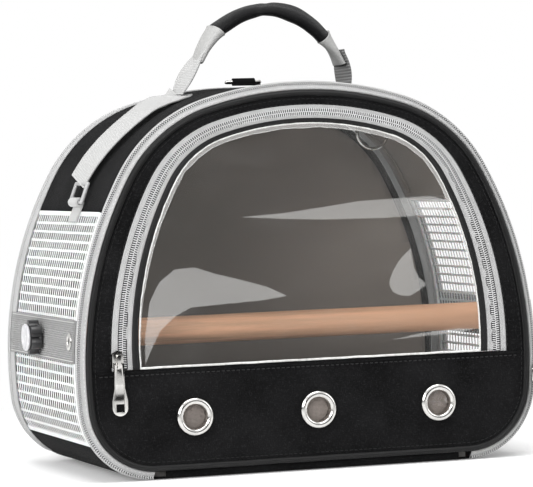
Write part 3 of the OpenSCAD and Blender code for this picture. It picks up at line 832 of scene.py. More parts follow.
class CARRIER_PG_sizes(bpy.types.PropertyGroup):
    """Sizes of the visible pieces that don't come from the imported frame."""

    weave_pitch: length("Weave pitch", "Distance between two yarns of the black cloth", 1.1)
    cloth_ripple: length("Cloth ripple", "How far the loose cloth waves", 0.7)
    tooth_pitch: length("Tooth pitch", "Distance between two zip teeth", 1.7)
    net_pitch_y: length("Net pitch along", "Distance between upright yarns of the net", 5.9)
    net_pitch_z: length("Net pitch up", "Distance between level yarns of the net", 7.1)
    net_yarn: length("Net yarn", "Thickness of a coated yarn", 1.1)
    rib_pitch: length("Rib pitch", "Distance between ribs of the side bands", 1.7)
    pane_bulge: length("Pane bulge", "How far the clear pane stands out in its middle", 2.2)
    stitch_length: length("Stitch length", "Length of one visible stitch", 2.6)
    grip_swell: length("Grip swell", "How far the grip's padding may swell", 1.6)


class CARRIER_PG_colours(bpy.types.PropertyGroup):
    """Colours of the carrier's materials."""

    cloth: colour("Cloth", "Ground of the black cloth", (0.0026, 0.0026, 0.0028))
    cloth_fleck: colour("Cloth fleck", "Light fibres in the black cloth", (0.034, 0.034, 0.0355))
    tape: colour("Zip tape", "Light grey zip tape", (0.52, 0.52, 0.52))
    webbing: colour("Webbing", "Light grey webbing", (0.44, 0.44, 0.436))
    band: colour("Band", "Ribbed side band", (0.27, 0.27, 0.268))
    net: colour("Net", "White coated net", (0.88, 0.88, 0.882))
    lining: colour("Lining", "Warm grey lining", (0.215, 0.183, 0.158))
    steel: colour("Metal", "Plated metal", (0.66, 0.65, 0.63))
    wood: colour("Wood", "Pale grain of the perch", (1.0, 0.56, 0.345))
    floor: colour("Floor", "Studio floor", (0.93, 0.93, 0.93))


def size(name):
    """A size from the panel in millimetres."""
    return getattr(bpy.context.scene.carrier_sizes, name) / MM


def tint(name, share=1.0):
    """A colour from the panel, made brighter or darker."""
    return tuple(min(1.0, c * share) for c in getattr(bpy.context.scene.carrier_colours, name))


def looks():
    """For each finish its slot, what makes it, its name and its values."""
    weave = bpy.context.scene.carrier_sizes.weave_pitch
    return {
        "black_cloth": ("black_fabric", oxford, "black oxford cloth", tint("cloth"), tint("cloth_fleck"), weave),
        "grip": (
            "black_fabric", oxford, "grip cloth", (0.003, 0.003, 0.0034), (0.024, 0.024, 0.025), 0.0009, 0.42, 0.04
        ),
        "piping": ("piping", cord_cloth, "black piping cloth", (0.0015, 0.0015, 0.0017), (0.009, 0.009, 0.0095)),
        "binding": ("piping", cord_cloth, "black binding tape", (0.003, 0.003, 0.0033), (0.018, 0.018, 0.019)),
        "tape": ("zip_tape", tape_cloth, "grey zip tape", tint("tape"), tint("tape", 0.62)),
        "teeth": ("zip_tape", nylon, "zip coil", tint("tape", 1.2), tint("tape", 0.95)),
        # The dark strip under the coils is painted shadow, laid where the gap between the teeth lies in shade.
        "coil_gap": ("zip_tape", nylon, "dark gap between coils", (0.012,) * 3, (0.007,) * 3, 0.6),
        "net": ("net", coated_net, "white net", tint("net"), tint("net", 0.8)),
        "webbing": ("webbing", ribbed_webbing, "light webbing", tint("webbing"), tint("webbing", 0.78)),
        "band": (
            "webbing", ribbed_webbing, "ribbed band", tint("band"), tint("band", 0.62), 0.0017, False, 0.0002, 0.75
        ),
        # A darker copy of the webbing: painted shade for the right upper strap, which turns from the light.
        "webbing_back": (
            "webbing", ribbed_webbing, "ribbed back of the webbing", tint("webbing", 0.52), tint("webbing", 0.2),
            0.0024, True, 0.0003, 0.8,
        ),
        "lining": ("lining", lining_cloth, "grey lining", tint("lining"), tint("lining", 0.22)),
        "side_lining": ("lining", lining_cloth, "pale grey lining", tint("lining", 1.05), tint("lining", 0.8)),
        "board": ("lining", lining_cloth, "grey base board", (0.17, 0.165, 0.16), (0.12, 0.115, 0.11)),
        "vent_mesh": ("lining", nylon, "grey vent mesh", (0.31, 0.27, 0.245), (0.22, 0.195, 0.18), 0.6),
        "steel": ("bright_metal", bright_metal, "plated steel", tint("steel")),
        "brass": ("bright_metal", bright_metal, "brass", (0.75, 0.55, 0.25), 0.3),
        "wood": ("wood", beech, "beech", tint("wood"), tint("wood", 0.34)),
        "star": ("black_plastic", moulded, "black moulded plastic", (0.022, 0.022, 0.023), (0.012, 0.012, 0.013)),
        # The knobs' pale caps: a painted reflection of the white surroundings on their end faces.
        "cap": ("grey_plastic", moulded, "pale moulded plastic", (0.6, 0.6, 0.62), (0.45, 0.45, 0.47), 0.18, 0.6),
        "ring": ("grey_plastic", moulded, "grey moulded plastic", (0.4,) * 3, (0.31,) * 3, 0.4, 0.1),
        "sleeve": ("webbing", grained, "grey sleeve", (0.38, 0.38, 0.374), (0.26, 0.26, 0.255)),
        # The pane carries painted reflections: the pale streak outlines listed above.
        "pane": ("clear_sheet", clear_vinyl, "clear vinyl", 0.01, PAINTED_REFLECTIONS),
        "pane_fold": ("clear_sheet", clear_vinyl, "folded clear vinyl", 0.24),
        "welt": ("welt", nylon, "milky welt", (0.74, 0.74, 0.72), (0.46, 0.46, 0.45), 0.2),
        "thread_dark": ("black_fabric", nylon, "dark thread", (0.006, 0.006, 0.0065), (0.003,) * 3, 0.6),
        "thread_pale": ("webbing", nylon, "pale thread", (0.7, 0.7, 0.69), (0.5,) * 3, 0.6),
    }


FINISHES = {}


def finish(look):
    """The finish of that key, made at its first use from the colours in the panel."""
    if look not in FINISHES:
        slot, make, *values = looks()[look]
        FINISHES[look] = make(*values)
        FINISHES[look].slot = slot
    return FINISHES[look]


# ---------------------------------------------------------------- the pieces

# Sections as y and z, or as the place along the axis and the radius.
HINGE = (
    (95.4, 0.25), (97.4, 0.3), (98.9, 1.6), (99.1, 4.2), (98.9, 7.0), (98.6, 9.0),
    (97.6, 9.0), (97.9, 7.0), (98.0, 4.2), (97.7, 2.3), (96.9, 1.6), (95.4, 1.5),
)
SEAM_FOLD = ((0.8, 0.1), (-0.12, -0.2), (-0.36, -1.3), (-0.12, -2.4), (0.8, -2.7))
VENT_RING = (
    (-2.6, 9.0), (-1.0, 9.0), (0.6, 9.15), (1.9, 9.7), (2.7, 10.6), (3.0, 11.6), (2.9, 12.6),
    (2.4, 13.6), (1.5, 14.4), (0.5, 14.75), (0.1, 14.6), (0.35, 13.2), (0.3, 10.2), (-2.6, 9.9),
)
BAND_RING = (
    (-1.5, 3.0), (0.0, 3.0), (0.6, 3.3), (1.05, 4.1), (1.1, 5.0), (0.7, 6.0), (0.1, 6.5), (-0.1, 6.2),
    (-0.1, 3.9), (-1.5, 3.8),
)
KNOB_CAP = (
    (-1.2, 10.2), (-0.4, 10.6), (0.5, 10.5), (1.0, 9.8), (1.1, 8.6), (0.8, 7.4), (0.75, 3.0), (0.75, 0.05),
)
KNOB_COLLAR = ((0.25, 6.2), (0.25, 9.6), (0.9, 10.4), (2.2, 10.6), (3.2, 9.8), (3.4, 6.2))
# Strips of the rear edge as y and outset.
REAR_TAPES = (
    (((84.0, 0.1), (84.0, 0.75), (90.0, 1.1), (96.3, 0.85), (96.3, 0.1)), 0.5),
    (((101.6, 0.2), (101.6, 0.8), (104.0, 0.9), (107.5, 0.2), (109.6, -1.4), (109.9, -2.4), (108.8, -2.2),
      (106.8, -0.9), (103.6, -0.1)), 0.0),
)
# The dark strip between the rear coils, as y and outset: painted shadow.
REAR_SHADOW_STRIP = ((96.2, -0.2), (96.2, 0.45), (101.8, 0.45), (101.8, -0.2))
# A window tooth's sections: reach from the middle, half its width and its height.
WINDOW_TOOTH = ((0.15, 0.24, 0.2), (0.6, 0.42, 0.5), (1.9, 0.42, 0.6), (2.6, 0.38, 0.4), (3.0, 0.26, 0.05))
# The strap's section: share of half its width and of its thickness.
STRAP = (
    (-1, 0), (-0.97, 0.42), (-0.88, 0.5), (-0.5, 0.5), (0, 0.5), (0.5, 0.5), (0.88, 0.5), (0.97, 0.42), (1, 0),
    (0.97, -0.42), (0.88, -0.5), (0, -0.5), (-0.88, -0.5), (-0.97, -0.42),
)
# The middle lines of the grip and of its sleeves, as x and z.
GRIP_LINE = (
    (-43.5, 331.0), (-38.0, 339.3), (-30.0, 345.0), (-18.0, 351.6), (-5.0, 355.8), (9.0, 357.0),
    (22.0, 354.6), (34.0, 350.0), (46.0, 341.5), (54.0, 333.5), (58.5, 327.5),
)
SLEEVE_LINES = (
    ((-36.5, 340.8), (-42.5, 334.0), (-48.5, 325.0), (-53.0, 315.5)),
    ((53.5, 334.5), (58.5, 327.8), (63.0, 320.0), (66.6, 312.0)),
)


def edge_loop(o, step, high=None):
    """The panel's edge drawn out by o as x, z points, if wanted cut above a height."""
    if high is None:
        return [loaf.spot(s, o)[:2] for s in loaf.all_round(step)]
    s = loaf.length_at(high, o)
    return [loaf.spot(t, o)[:2] for t in loaf.run(-s, s, step)]


class CARRIER_OT_shell_cloth(bpy.types.Operator):
    """Makes the black top panel, the base cover, their lining and the folded hinges"""

    bl_idname = "carrier.shell_cloth"
    bl_label = "Shell Cloth"

    def execute(self, context):
        wave = size("cloth_ripple")

        def skin(lengths, outer, thick, seed, loose):
            """Cloth over the lengths, rippled between its edges; loose is the share of the ripple that it has."""
            rows = []
            for s in lengths:
                x, z, nx, nz = loaf.spot(s, outer)
                front, back = [], []
                for y in spread(-SHELL_Y, SHELL_Y, 36):
                    ease = min(1.0, (SHELL_Y - abs(y)) / 25)
                    sink = (0.5 + 0.5 * ripple(x, y * 0.7, z, 38, seed)) * wave * ease * loose
                    front.append((x - nx * sink, y, z - nz * sink))
                    back.append((x - nx * (sink + thick), y, z - nz * (sink + thick)))
                rows.append(front + back[::-1])
            return Maker().loft(rows)

        over = loaf.over(NET_HIGH, 5)
        skin(over, REACH, thick=1.5, seed=1.7, loose=1.6).done("top_cloth", "black_cloth", "shell", "top_panel")
        over = loaf.over(NET_HIGH, 5, 4)
        skin(over, REACH - 2.9, thick=0.9, seed=5.1, loose=1.0).done(
            "top_inner_cloth", "side_lining", "shell", "top_lining"
        )
        strip = ((74.0, REACH - 5.2), (75.0, REACH - 5.8), (86.0, REACH - 5.9), (87.0, REACH - 5.2))
        Maker().loft([
            [point(s, y, o - 0.2 * ripple(s, y, 0, 20, 1.0)) for y, o in strip] for s in loaf.over(NET_HIGH + 4, 5, 0)
        ]).done("top_seam_strip", "lining", "shell")
        s = loaf.length_at(NET_LOW, REACH)
        skin(loaf.run(-s, s, 5), REACH, thick=1.5, seed=3.3, loose=0.0).done(
            "base_cloth", "black_cloth", "shell", "base_cover"
        )
        dress("base_board", "board")
        depths = spread(3 - SHELL_Y, SHELL_Y - 3, 20)
        Maker().loft([
            [(x, y, 5.4 + 0.35 * ripple(x, j * 9.0, 0, 30, 2.0)) for j, y in enumerate(depths)]
            for x in spread(-122, 122, 24)
        ], ring=False).done("floor_lining", "lining", "shell")

        for sign, door, label in ENDS:
            rows = []
            for x in spread(-119, 119, 40):
                sag = 0.15 * ripple(x, 0, 0, 24, sign)
                rows.append([(x, sign * y, z + (sag if k == 2 else 0)) for k, (y, z) in enumerate(HINGE)])
            Maker().loft(rows).done(
                label + "_hinge_cloth", "black_cloth",
                ("shell", door, (0, sign * 0.0975, 0.003), (0, sign * 0.0985, 0.0085)), label + "_hinge_fold",
            )
        return {"FINISHED"}


class CARRIER_OT_end_panels(bpy.types.Operator):
    """Makes the front frame, the lower panel with its vents, the rear panel and their linings"""

    bl_idname = "carrier.end_panels"
    bl_label = "End Panels"

    def execute(self, context):
        wave = size("cloth_ripple")
        first = loaf.length_at(SEAM_Z, -4)
        rows, inner = [], []
        for t in spread(0, 1, 220):
            outer = loaf.spot(first + (2 * loaf.half - 2 * first) * t, -4)
            front, back = [], []
            for x, z, share in between(outer, window_spot(21.2, t, SEAM_Z), 10):
                puff = 0.63 * math.sin(math.pi * min(1, share * 1.02)) ** 0.6
                y = -PANEL_Y - puff - wave * 0.35 * ripple(x, 0, z, 22, 4.0) * math.sin(math.pi * share)
                front.append((x, y + (0.5 if share == 0 else 0), z))
                back.append((x, -PANEL_Y + 1.9, z))
            rows.append(front + back[::-1])
            edges = (window_spot(i, t, SEAM_Z + 1) for i in (21.0, 28.2))
            inner.append([(x, -PANEL_Y + 1.8 + 0.2 * share, z) for x, z, share in between(*edges, 5)])
        Maker().loft(rows).done("front_frame_cloth", "black_cloth", "front_door", "front_frame")
        Maker().loft(inner, ring=False).done("front_frame_lining", "lining", "front_door")

        vents = [(VENT_X + k * VENT_PITCH, VENT_Z, VENT_R) for k in (-1, 0, 1)]

        def dent(x, z):
            """The lower panel's waves, drawn in round each vent and at the seam."""
            near = min(math.dist((x, z), v[:2]) for v in vents)
            pull = max(0.0, 1 - abs(near - 17) / 7) * 0.35
            rim = min(1.0, abs(near - VENT_R) / 8)
            edge = min(1.0, (SEAM_Z - z) / 7)
            return (0.25 + wave * 0.8 * ripple(x, 0, z, 30, 9.0)) * rim * edge - pull + 0.35 * (1 - edge)

        Maker().plate(edge_loop(-4, 4, SEAM_Z + 0.6), vents, -PANEL_Y, thick=1.9, spacing=4.5, lift=dent).done(
            "front_lower_cloth", "black_cloth", "front_door", "front_lower_panel", hard=50
        )
        Maker().plate(edge_loop(-8, 5, SEAM_Z - 4), vents, -99.0, thick=0.0, spacing=7).done(
            "front_lower_lining", "lining", "front_door", "front_lining"
        )

        def slack(x, z):
            """The rear panel's broad and fine waves."""
            return 0.5 + wave * 1.5 * ripple(x, 0, z, 45, 2.0) + wave * 0.5 * ripple(x, 0, z, 16, 7.0)

        Maker().plate(edge_loop(-4, 4), [], PANEL_Y, thick=1.9, spacing=7, lift=slack, front=1).done(
            "rear_cloth", "black_cloth", "rear_door", "rear_panel", hard=50
        )
        Maker().plate(
            edge_loop(-7, 5), [], 99.2, thick=0.8, spacing=8, lift=lambda x, z: 0.5 * slack(x, z), front=1
        ).done("rear_inner_cloth", "lining", "rear_door", "rear_lining")

        rows = []
        for x in spread(-172, 172, 130):
            y = -PANEL_Y - 0.32 - 0.1 * ripple(x, 0, 0, 25, 3)
            rows.append([(x, y + out, SEAM_Z + up) for out, up in SEAM_FOLD])
        Maker().loft(rows).done("seam_fold", "black_cloth", "front_door")

        stitch = size("stitch_length")
        lower = [(x, -PANEL_Y - 0.72, SEAM_Z - 3.6) for x in spread(-170, 170, 80)]
        upper = [(x, -PANEL_Y - 0.62, z) for x, z, _, _ in window_edge(19.0, SEAM_Z + 4, 3)]
        thread = Maker().stitches(lower, FRONTWARDS, stitch, gap=1.4)
        thread.stitches(upper, FRONTWARDS, stitch, gap=1.2, wide=0.35, high=0.22)
        thread.done("panel_stitching", "thread_dark", "front_door")

        for letter, (x, _, _) in zip("abc", vents):
            Maker().loft(turned((x, -PANEL_Y, VENT_Z), FRONTWARDS, VENT_RING, 96), closed=True).done(
                "vent_ring_" + letter, "steel", "front_door", *(["vent_eyelets"] if letter == "a" else []), hard=55
            )
            mesh = Maker()
            for j in range(-9, 10):
                reach = math.sqrt(9.6 ** 2 - j ** 2)
                for ends in (((-reach, j), (reach, j)), ((j, -reach), (j, reach))):
                    mesh.tube([(x + a, -98.2, VENT_Z + b) for a, b in ends], 0.33, sides=4, up=FRONTWARDS)
            mesh.done("vent_mesh_" + letter, "vent_mesh", "front_door")
        dress("vent_washers", "steel")
        return {"FINISHED"}


class CARRIER_OT_piping(bpy.types.Operator):
    """Makes the round piping along the edges of both end panels"""

    bl_idname = "carrier.piping"
    bl_label = "Piping"

    def execute(self, context):
        for sign, door, label in ENDS:
            rows = []
            for s in loaf.all_round(2.5):
                r = 2.45 + 0.12 * ripple(s, 0, 0, 9, sign)
                shift = 0.2 * ripple(s, 3, 0, 30, sign) - 2.5
                rows.append([
                    point(s, sign * (PANEL_Y - 0.1) + r * math.sin(a), r * math.cos(a) + shift) for a in circle(16)
                ])
            Maker().loft(rows, closed=True).done(label + "_piping_cord", "piping", door, label + "_piping")
            path = [point(s, sign * (PANEL_Y + 0.72), -7.0) for s in loaf.all_round(4)]
            Maker().stitches(path, (0, sign, 0), size("stitch_length"), gap=1.3, wide=0.22, high=0.1).done(
                label + "_piping_stitching", "thread_dark", door, slot="piping"
            )
        return {"FINISHED"}


class CARRIER_OT_perimeter_zips(bpy.types.Operator):
    """Makes the zips round both ends: two tapes, each with its row of coil teeth"""

    bl_idname = "carrier.perimeter_zips"
    bl_label = "Perimeter Zips"

    def execute(self, context):
        pitch = size("tooth_pitch")
        first = loaf.flat + 2
        last = 2 * loaf.half - first

        def at(s, along, high, sign):
            """The point at the length s, along the tape's width and high off it."""
            o, y = slant(along, high)
            return point(s, -sign * y, o)

        for sign, door, label in ENDS:
            halves = (
                ("door", door, 0.0, ZIP_SPLIT - 0.15, 1),
                ("shell", "shell", ZIP_SPLIT + 0.15, ZIP_RUN, -1),
            )
            for part, body, a, b, way in halves:
                rows = []
                for s in loaf.run(first, last, 3):
                    row = [
                        at(s, along, 1.0 + 0.16 * ripple(s, along * 3, 0, 12, sign + way), sign)
                        for along in spread(a, b, 5)
                    ]
                    rows.append(row + [at(s, b, 0.1, sign), at(s, a, 0.1, sign)])
                Maker().loft(rows).done(
                    f"{label}_{part}_tape", "tape", body, f"{label}_zip_{part}_half", hard=50
                )
                teeth = Maker()
                near, far = ZIP_SPLIT - way * 0.1, ZIP_SPLIT - way * 1.7
                half = pitch * 0.21
                tooth = ((near, 1.25), (near, 1.85), ((near + far) / 2, 2.0), (far, 1.7), (far, 1.15))
                for s in loaf.run(first + 1, last - 1, pitch):
                    s += 0 if way > 0 else pitch / 2
                    low, middle, high = (
                        [at(s + 0.42 * (near - along) / 1.6 + half * e, along, up, sign) for along, up in tooth]
                        for e in (-1, 0, 1)
                    )
                    low, high = (
                        [tuple(Vector(p).lerp(Vector(q), 0.12)) for p, q in zip(row, middle)] for row in (low, high)
                    )
                    teeth.loft([low, middle, high])
                teeth.done(f"{label}_{part}_teeth", "teeth", body)
                # A dark strip between the two rows of teeth: painted shadow in the gap.
                edges = (ZIP_SPLIT - way * 1.2, ZIP_SPLIT - way * 0.06)
                Maker().loft([
                    [at(s, along, 1.22, sign) for along in edges] for s in loaf.run(first, last, 3)
                ], ring=False).done(f"{label}_{part}_gap", "coil_gap", body)
            lengths = loaf.run(first + 2, last - 2, 4)
            Maker().stitches(
                [at(s, 1.1, 1.25, sign) for s in lengths], [outward(s, 1, sign) for s in lengths],
                length=2.2, gap=1.2, wide=0.25, high=0.16,
            ).done(f"{label}_tape_stitching", "thread_pale", door, slot="zip_tape")
        return {"FINISHED"}


class CARRIER_OT_rear_edge_tape(bpy.types.Operator):
    """Makes the zip tape that shows round the rear edge of the top and sides"""

    bl_idname = "carrier.rear_edge_tape"
    bl_label = "Rear Edge Tape"

    def execute(self, context):
        first, last = loaf.flat + 30, 2 * loaf.half - loaf.flat - 30

        def strip(places, wavy=0.0):
            """Rows of the places along the edge, the first two of them wavy."""
            return [
                [
                    point(s, y + (wavy * ripple(s, 0, 0, 5, 2.0) if k < 2 else 0.0), REACH + o)
                    for k, (y, o) in enumerate(places)
                ]
                for s in loaf.run(first, last, 2.5)
            ]

        tape = Maker()
        for places, wavy in REAR_TAPES:
            tape.loft(strip(places, wavy))
        tape.done("rear_edge_tape", "tape", "shell", hard=60)
        # A dark strip between the coils: painted shadow in the gap.
        Maker().loft(strip(REAR_SHADOW_STRIP)).done("rear_edge_gap", "coil_gap", "shell")
        teeth = Maker()
        pitch = size("tooth_pitch")
        for s in loaf.run(first + 1, last - 1, pitch):
            for near, far, shift in ((97.9, 98.7, 0.0), (99.2, 100.0, pitch / 2)):
                teeth.loft([
                    [
                        point(s + shift + e, y, REACH + high + rise)
                        for e, rise in ((-0.5, -0.3), (-0.36, 0.0), (0.36, 0.0), (0.5, -0.3))
                    ]
                    for y, high in ((near, 0.75), ((near + far) / 2, 1.15), (far, 0.75))
                ])
        teeth.done("rear_edge_teeth", "teeth", "shell")
        return {"FINISHED"}


class CARRIER_OT_window(bpy.types.Operator):
    """Makes the clear pane with its welt, binding and zip"""

    bl_idname = "carrier.window"
    bl_label = "Window"

    def execute(self, context):
        around = WINDOW_AROUND
        bulge = size("pane_bulge")
        edge = [p[:2] for p in window_edge(36.6, WINDOW_LOW, 5)]

        def swelling(x, z):
            """How far the pane stands out: a broad bulge with folds."""
            broad = bulge * max(0.0, 1 - (x / 142) ** 2) * math.sin(math.pi * held((z - WINDOW_LOW) / 186))
            near = held((z - WINDOW_LOW) / 12) * min(1.0, (146 - abs(x)) / 14)
            fold = 1.3 * ripple(x * 0.55 + z * 0.35, 0, z * 0.5 - x * 0.1, 62, 6.0)
            return max(0.0, broad + (fold + 0.35 * ripple(x, 0, z, 26, 3.0)) * near)

        pane = Maker().plate(edge, [], -102.4, thick=0.6, spacing=5, lift=swelling)
        sheet = pane.done("window_sheet", "pane", "window", "window_pane")

        def ring(inner, outer, back, front, low, wavy, rounded):
            """A tape between two insets of the window's edge, from the depth back to the depth front."""
            rows = []
            for t in spread(0, 1, 260):
                shake = wavy * ripple(t * around, 0, 0, 7, inner)
                row = []
                for share in spread(0, 1, 8):
                    i = outer + (inner - outer) * share + shake * math.sin(math.pi * share)
                    out = math.sin(math.pi * (0.12 + 0.76 * share)) * rounded
                    row.append(window_point(i, t, low, front - out - shake * 0.3))
                rows.append(row + [window_point(i, t, low, back) for i in (inner, outer)])
            return Maker().loft(rows)

        ring(41.0, 35.9, -102.2, -103.1, WINDOW_LOW, wavy=0.12, rounded=0.55).done(
            "window_binding_tape", "binding", "window", "window_binding"
        )
        ring(36.2, 28.6, -102.0, -102.9, WINDOW_LOW, wavy=0.1, rounded=0.1).done(
            "window_flap_tape", "tape", "window", "window_zip_flap_half"
        )
        ring(28.2, 20.0, -102.1, -102.95, SEAM_Z + 0.4, wavy=0.0, rounded=0.05).done(
            "window_fixed_tape", "tape", "front_door", "window_zip_fixed_half"
        )

        stations = spread(0, 1, 420)
        rim = [
            window_point(
                41.9 + 0.5 * ripple(t * around, 0, 0, 10, 1.0), t, WINDOW_LOW + 0.8,
                -103.2 - 0.2 * ripple(t * around, 5, 0, 6, 1.0),
            )
            for t in stations
        ]
        foot = [
            (x, -103.3 - 0.2 * ripple(x, 0, 0, 9, 2), WINDOW_LOW + 0.7 + 0.25 * ripple(x, 0, 0, 14, 4))
            for x in range(-138, 139, 3)
        ]
        welt = Maker().tube(rim, lambda q: 0.55 * (1 + 0.3 * ripple(q * around, 9, 0, 6, 1.0)), up=FRONTWARDS)
        welt.tube(foot, 0.85).done("window_bead", "welt", "window", "window_welt")

        rows = []
        for t in stations:
            wide = 0.4 + 5.2 * math.sin(math.pi * t) ** 1.5 * (0.8 + 0.35 * ripple(t * around, 0, 0, 17, 8.0))
            rows.append([
                window_point(
                    42.4 + wide * j / 4, t, WINDOW_LOW + 4,
                    -103.35 - 0.5 * math.sin(math.pi * j / 4) - 0.3 * ripple(t * around, j * 4, 0, 8, 3.0),
                )
                for j in range(5)
            ])
        fold = Maker().loft(rows, ring=False)
        crease = [row[4] for row in rows[40:-40]]
        fold.tube(crease, lambda q: 0.32 * (1 + 0.6 * ripple(q * 560, 4, 0, 7, 5.0)), sides=6, up=FRONTWARDS)
        fold.done("window_bead_fold", "pane_fold", "window")

        # Dark strips between the window's coils: painted shadow in the gap.
        for name, edges, body, low in (
            ("window_outer_gap", (24.7, 28.3), "front_door", SEAM_Z + 0.5),
            ("window_inner_gap", (28.5, 32.1), "window", WINDOW_LOW),
        ):
            rows = [[window_point(i, t, low, -103.0) for i in edges] for t in spread(0, 1, 300)]
            Maker().loft(rows, ring=False).done(name, "coil_gap", body)

        teeth = {"front_door": Maker(), "window": Maker()}
        pitch = size("tooth_pitch")
        edge = window_edge(WINDOW_SPLIT, SEAM_Z + 1.5, 1.0)
        lengths = lengths_of([p[:2] for p in edge])
        k = 0
        for n in range(int(lengths[-1] / pitch)):
            while lengths[k + 1] < n * pitch:
                k += 1
            share = (n * pitch - lengths[k]) / (lengths[k + 1] - lengths[k])
            a, b = edge[k], edge[k + 1]
            at = Vector((a[0] + (b[0] - a[0]) * share, a[1] + (b[1] - a[1]) * share))
            out = Vector(a[2:]).normalized()
            way = Vector((-out[1], out[0]))
            for body, sign in (("front_door", 1), ("window", -1)):
                start = at + way * (0 if sign > 0 else pitch / 2)
                rows = []
                for reach, half, high in WINDOW_TOOTH:
                    c = start + out * sign * reach + way * reach * 0.1
                    section = ((-1, -102.95), (-0.75, -103.05 - high), (0.75, -103.05 - high), (1, -102.95))
                    rows.append([(c[0] + way[0] * half * e, y, c[1] + way[1] * half * e) for e, y in section])
                teeth[body].loft(rows)
        teeth["front_door"].tube([(p[0], -103.45, p[1]) for p in edge[::3]], 0.34, sides=6, up=FRONTWARDS)
        teeth["front_door"].done("window_outer_teeth", "teeth", "front_door")
        teeth["window"].done("window_inner_teeth", "teeth", "window")

        path = [(x, -103.78, z) for x, z, _, _ in window_edge(39.6, WINDOW_LOW + 2, 3)]
        Maker().stitches(path, FRONTWARDS, length=2.4, gap=1.1, wide=0.3, high=0.18).done(
            "binding_stitching", "thread_dark", "window", slot="piping"
        )
        return {"FINISHED"}


class CARRIER_OT_side_nets(bpy.types.Operator):
    """Makes the coated nets of both sides with their doubled borders"""

    bl_idname = "carrier.side_nets"
    bl_label = "Side Nets"

    def execute(self, context):
        step_y, step_z = size("net_pitch_y"), size("net_pitch_z")
        yarn = size("net_yarn") * 0.3
        half = SHELL_Y - 4
        low, high = loaf.length_at(NET_LOW, REACH), loaf.length_at(NET_HIGH, REACH)
        along, across = loaf.run(low, high, 5), spread(-SHELL_Y, SHELL_Y, 30)
        for side, label in SIDES:
            net = Maker()
            for c, y in enumerate(spread(-half, half, round(2 * half / step_y))):
                path = []
                for s in loaf.run(low + 2, high - 2, 3.05):
                    lean = 0.45 * math.sin(math.pi * (s - low) / step_z + c) + 0.3 * ripple(s, y, 0, 12, side)
                    path.append(point(s, y + lean, REACH - 0.45, side))
                net.tube(path, yarn, sides=6, flat=2.9, up=-FRONTWARDS)
            for s in spread(low + 2, high - 2, round((high - low - 4) / step_z)):
                for shift in (-0.5, 0.5):
                    net.tube([
                        point(s + shift + 0.25 * ripple(s, k * 4.0, 0, 12, side), y, REACH - 0.95, side)
                        for k, y in enumerate(spread(-half, half, 40))
                    ], yarn, sides=6, flat=1.5)
            net.done(label + "_net", "net", "shell", "side_net_" + label)

            border = Maker()

            def strip(first, last, back, front):
                """A doubled edge between two lines of length and depth, from the outset back to front."""
                rows = []
                for a, b in zip(first, last):
                    row = [
                        point(s, y, front + 0.1 * math.sin(math.pi * share), side) for s, y, share in between(a, b, 4)
                    ]
                    rows.append(row + [point(*b, back, side), point(*a, back, side)])
                border.loft(rows)

            for outer, inner in ((-SHELL_Y, -SHELL_Y + 6), (SHELL_Y, SHELL_Y - 5)):
                strip([(s, outer) for s in along], [(s, inner) for s in along], REACH - 1.5, REACH - 0.15)
            for outer, inner in ((high + 0.5, high - 2.6), (low - 0.5, low + 3.4)):
                strip([(outer, y) for y in across], [(inner, y) for y in across], REACH - 1.5, REACH - 0.1)
            border.done(label + "_net_border", "net", "shell")

            thread = Maker()
            for y in (-SHELL_Y + 4.8, SHELL_Y - 4.0):
                path = [point(s, y, REACH, side) for s in along]
                thread.stitches(path, [outward(s, side) for s in along], gap=1.4, wide=0.3, high=0.2)
            path = [point(high - 1.6, y, REACH, side) for y in across]
            thread.stitches(path, (side * 0.9, 0, 0.4), gap=1.4, wide=0.3, high=0.2)
            thread.done(label + "_net_stitching", "thread_pale", "shell", slot="net")
        return {"FINISHED"}


class CARRIER_OT_side_bands(bpy.types.Operator):
    """Makes the ribbed webbing bands across both nets with their eyelets"""

    bl_idname = "carrier.side_bands"
    bl_label = "Side Bands"

    def execute(self, context):
        rib = size("rib_pitch")
        low, high = (loaf.length_at(PERCH_Z + up, REACH) for up in (-16, 16))
        count = round((high - low) / rib) * 8
        face = REACH + 1.6
        middle = loaf.length_at(PERCH_Z, face)
        for side, label in SIDES:
            rows = []
            for y in spread(-SHELL_Y, SHELL_Y, 28):
                row = []
                for j, s in enumerate(spread(low, high, count)):
                    fade = max(0.2, min(1.0, (SHELL_Y - abs(y)) / 3, j / 4, (count - j) / 4))
                    ribs = 0.32 * (0.5 + 0.5 * math.cos(2 * math.pi * (s - low) / rib)) * fade
                    row.append(point(s, y, REACH + 1.05 + ribs, side))
                rows.append(row + [point(s, y, REACH + 0.05, side) for s in (high, low)])
            Maker().loft(rows).done(label + "_band", "band", "shell", "side_band_" + label)
            centre, way = point(middle, -82.6, face, side), outward(middle, side)
            Maker().loft(turned(centre, way, BAND_RING, 48), closed=True).done(
                label + "_band_ring", "steel", "shell", "band_eyelet_" + label, hard=60
            )
            Maker().loft(turned(centre, way, [(-0.05, 0.01), (-0.05, 3.05)], 32), caps=False).done(
                label + "_band_hole", "thread_dark", "shell", slot="webbing"
            )
            thread = Maker()
            for s in (low + 1.6, high - 1.6):
                path = [point(s, y, REACH + 1.5, side) for y in spread(2 - SHELL_Y, SHELL_Y - 2, 40)]
                thread.stitches(path, outward(s, side), length=2.4, gap=1.3, wide=0.3, high=0.2)
            thread.done(label + "_band_stitching", "thread_pale", "shell")
        return {"FINISHED"}


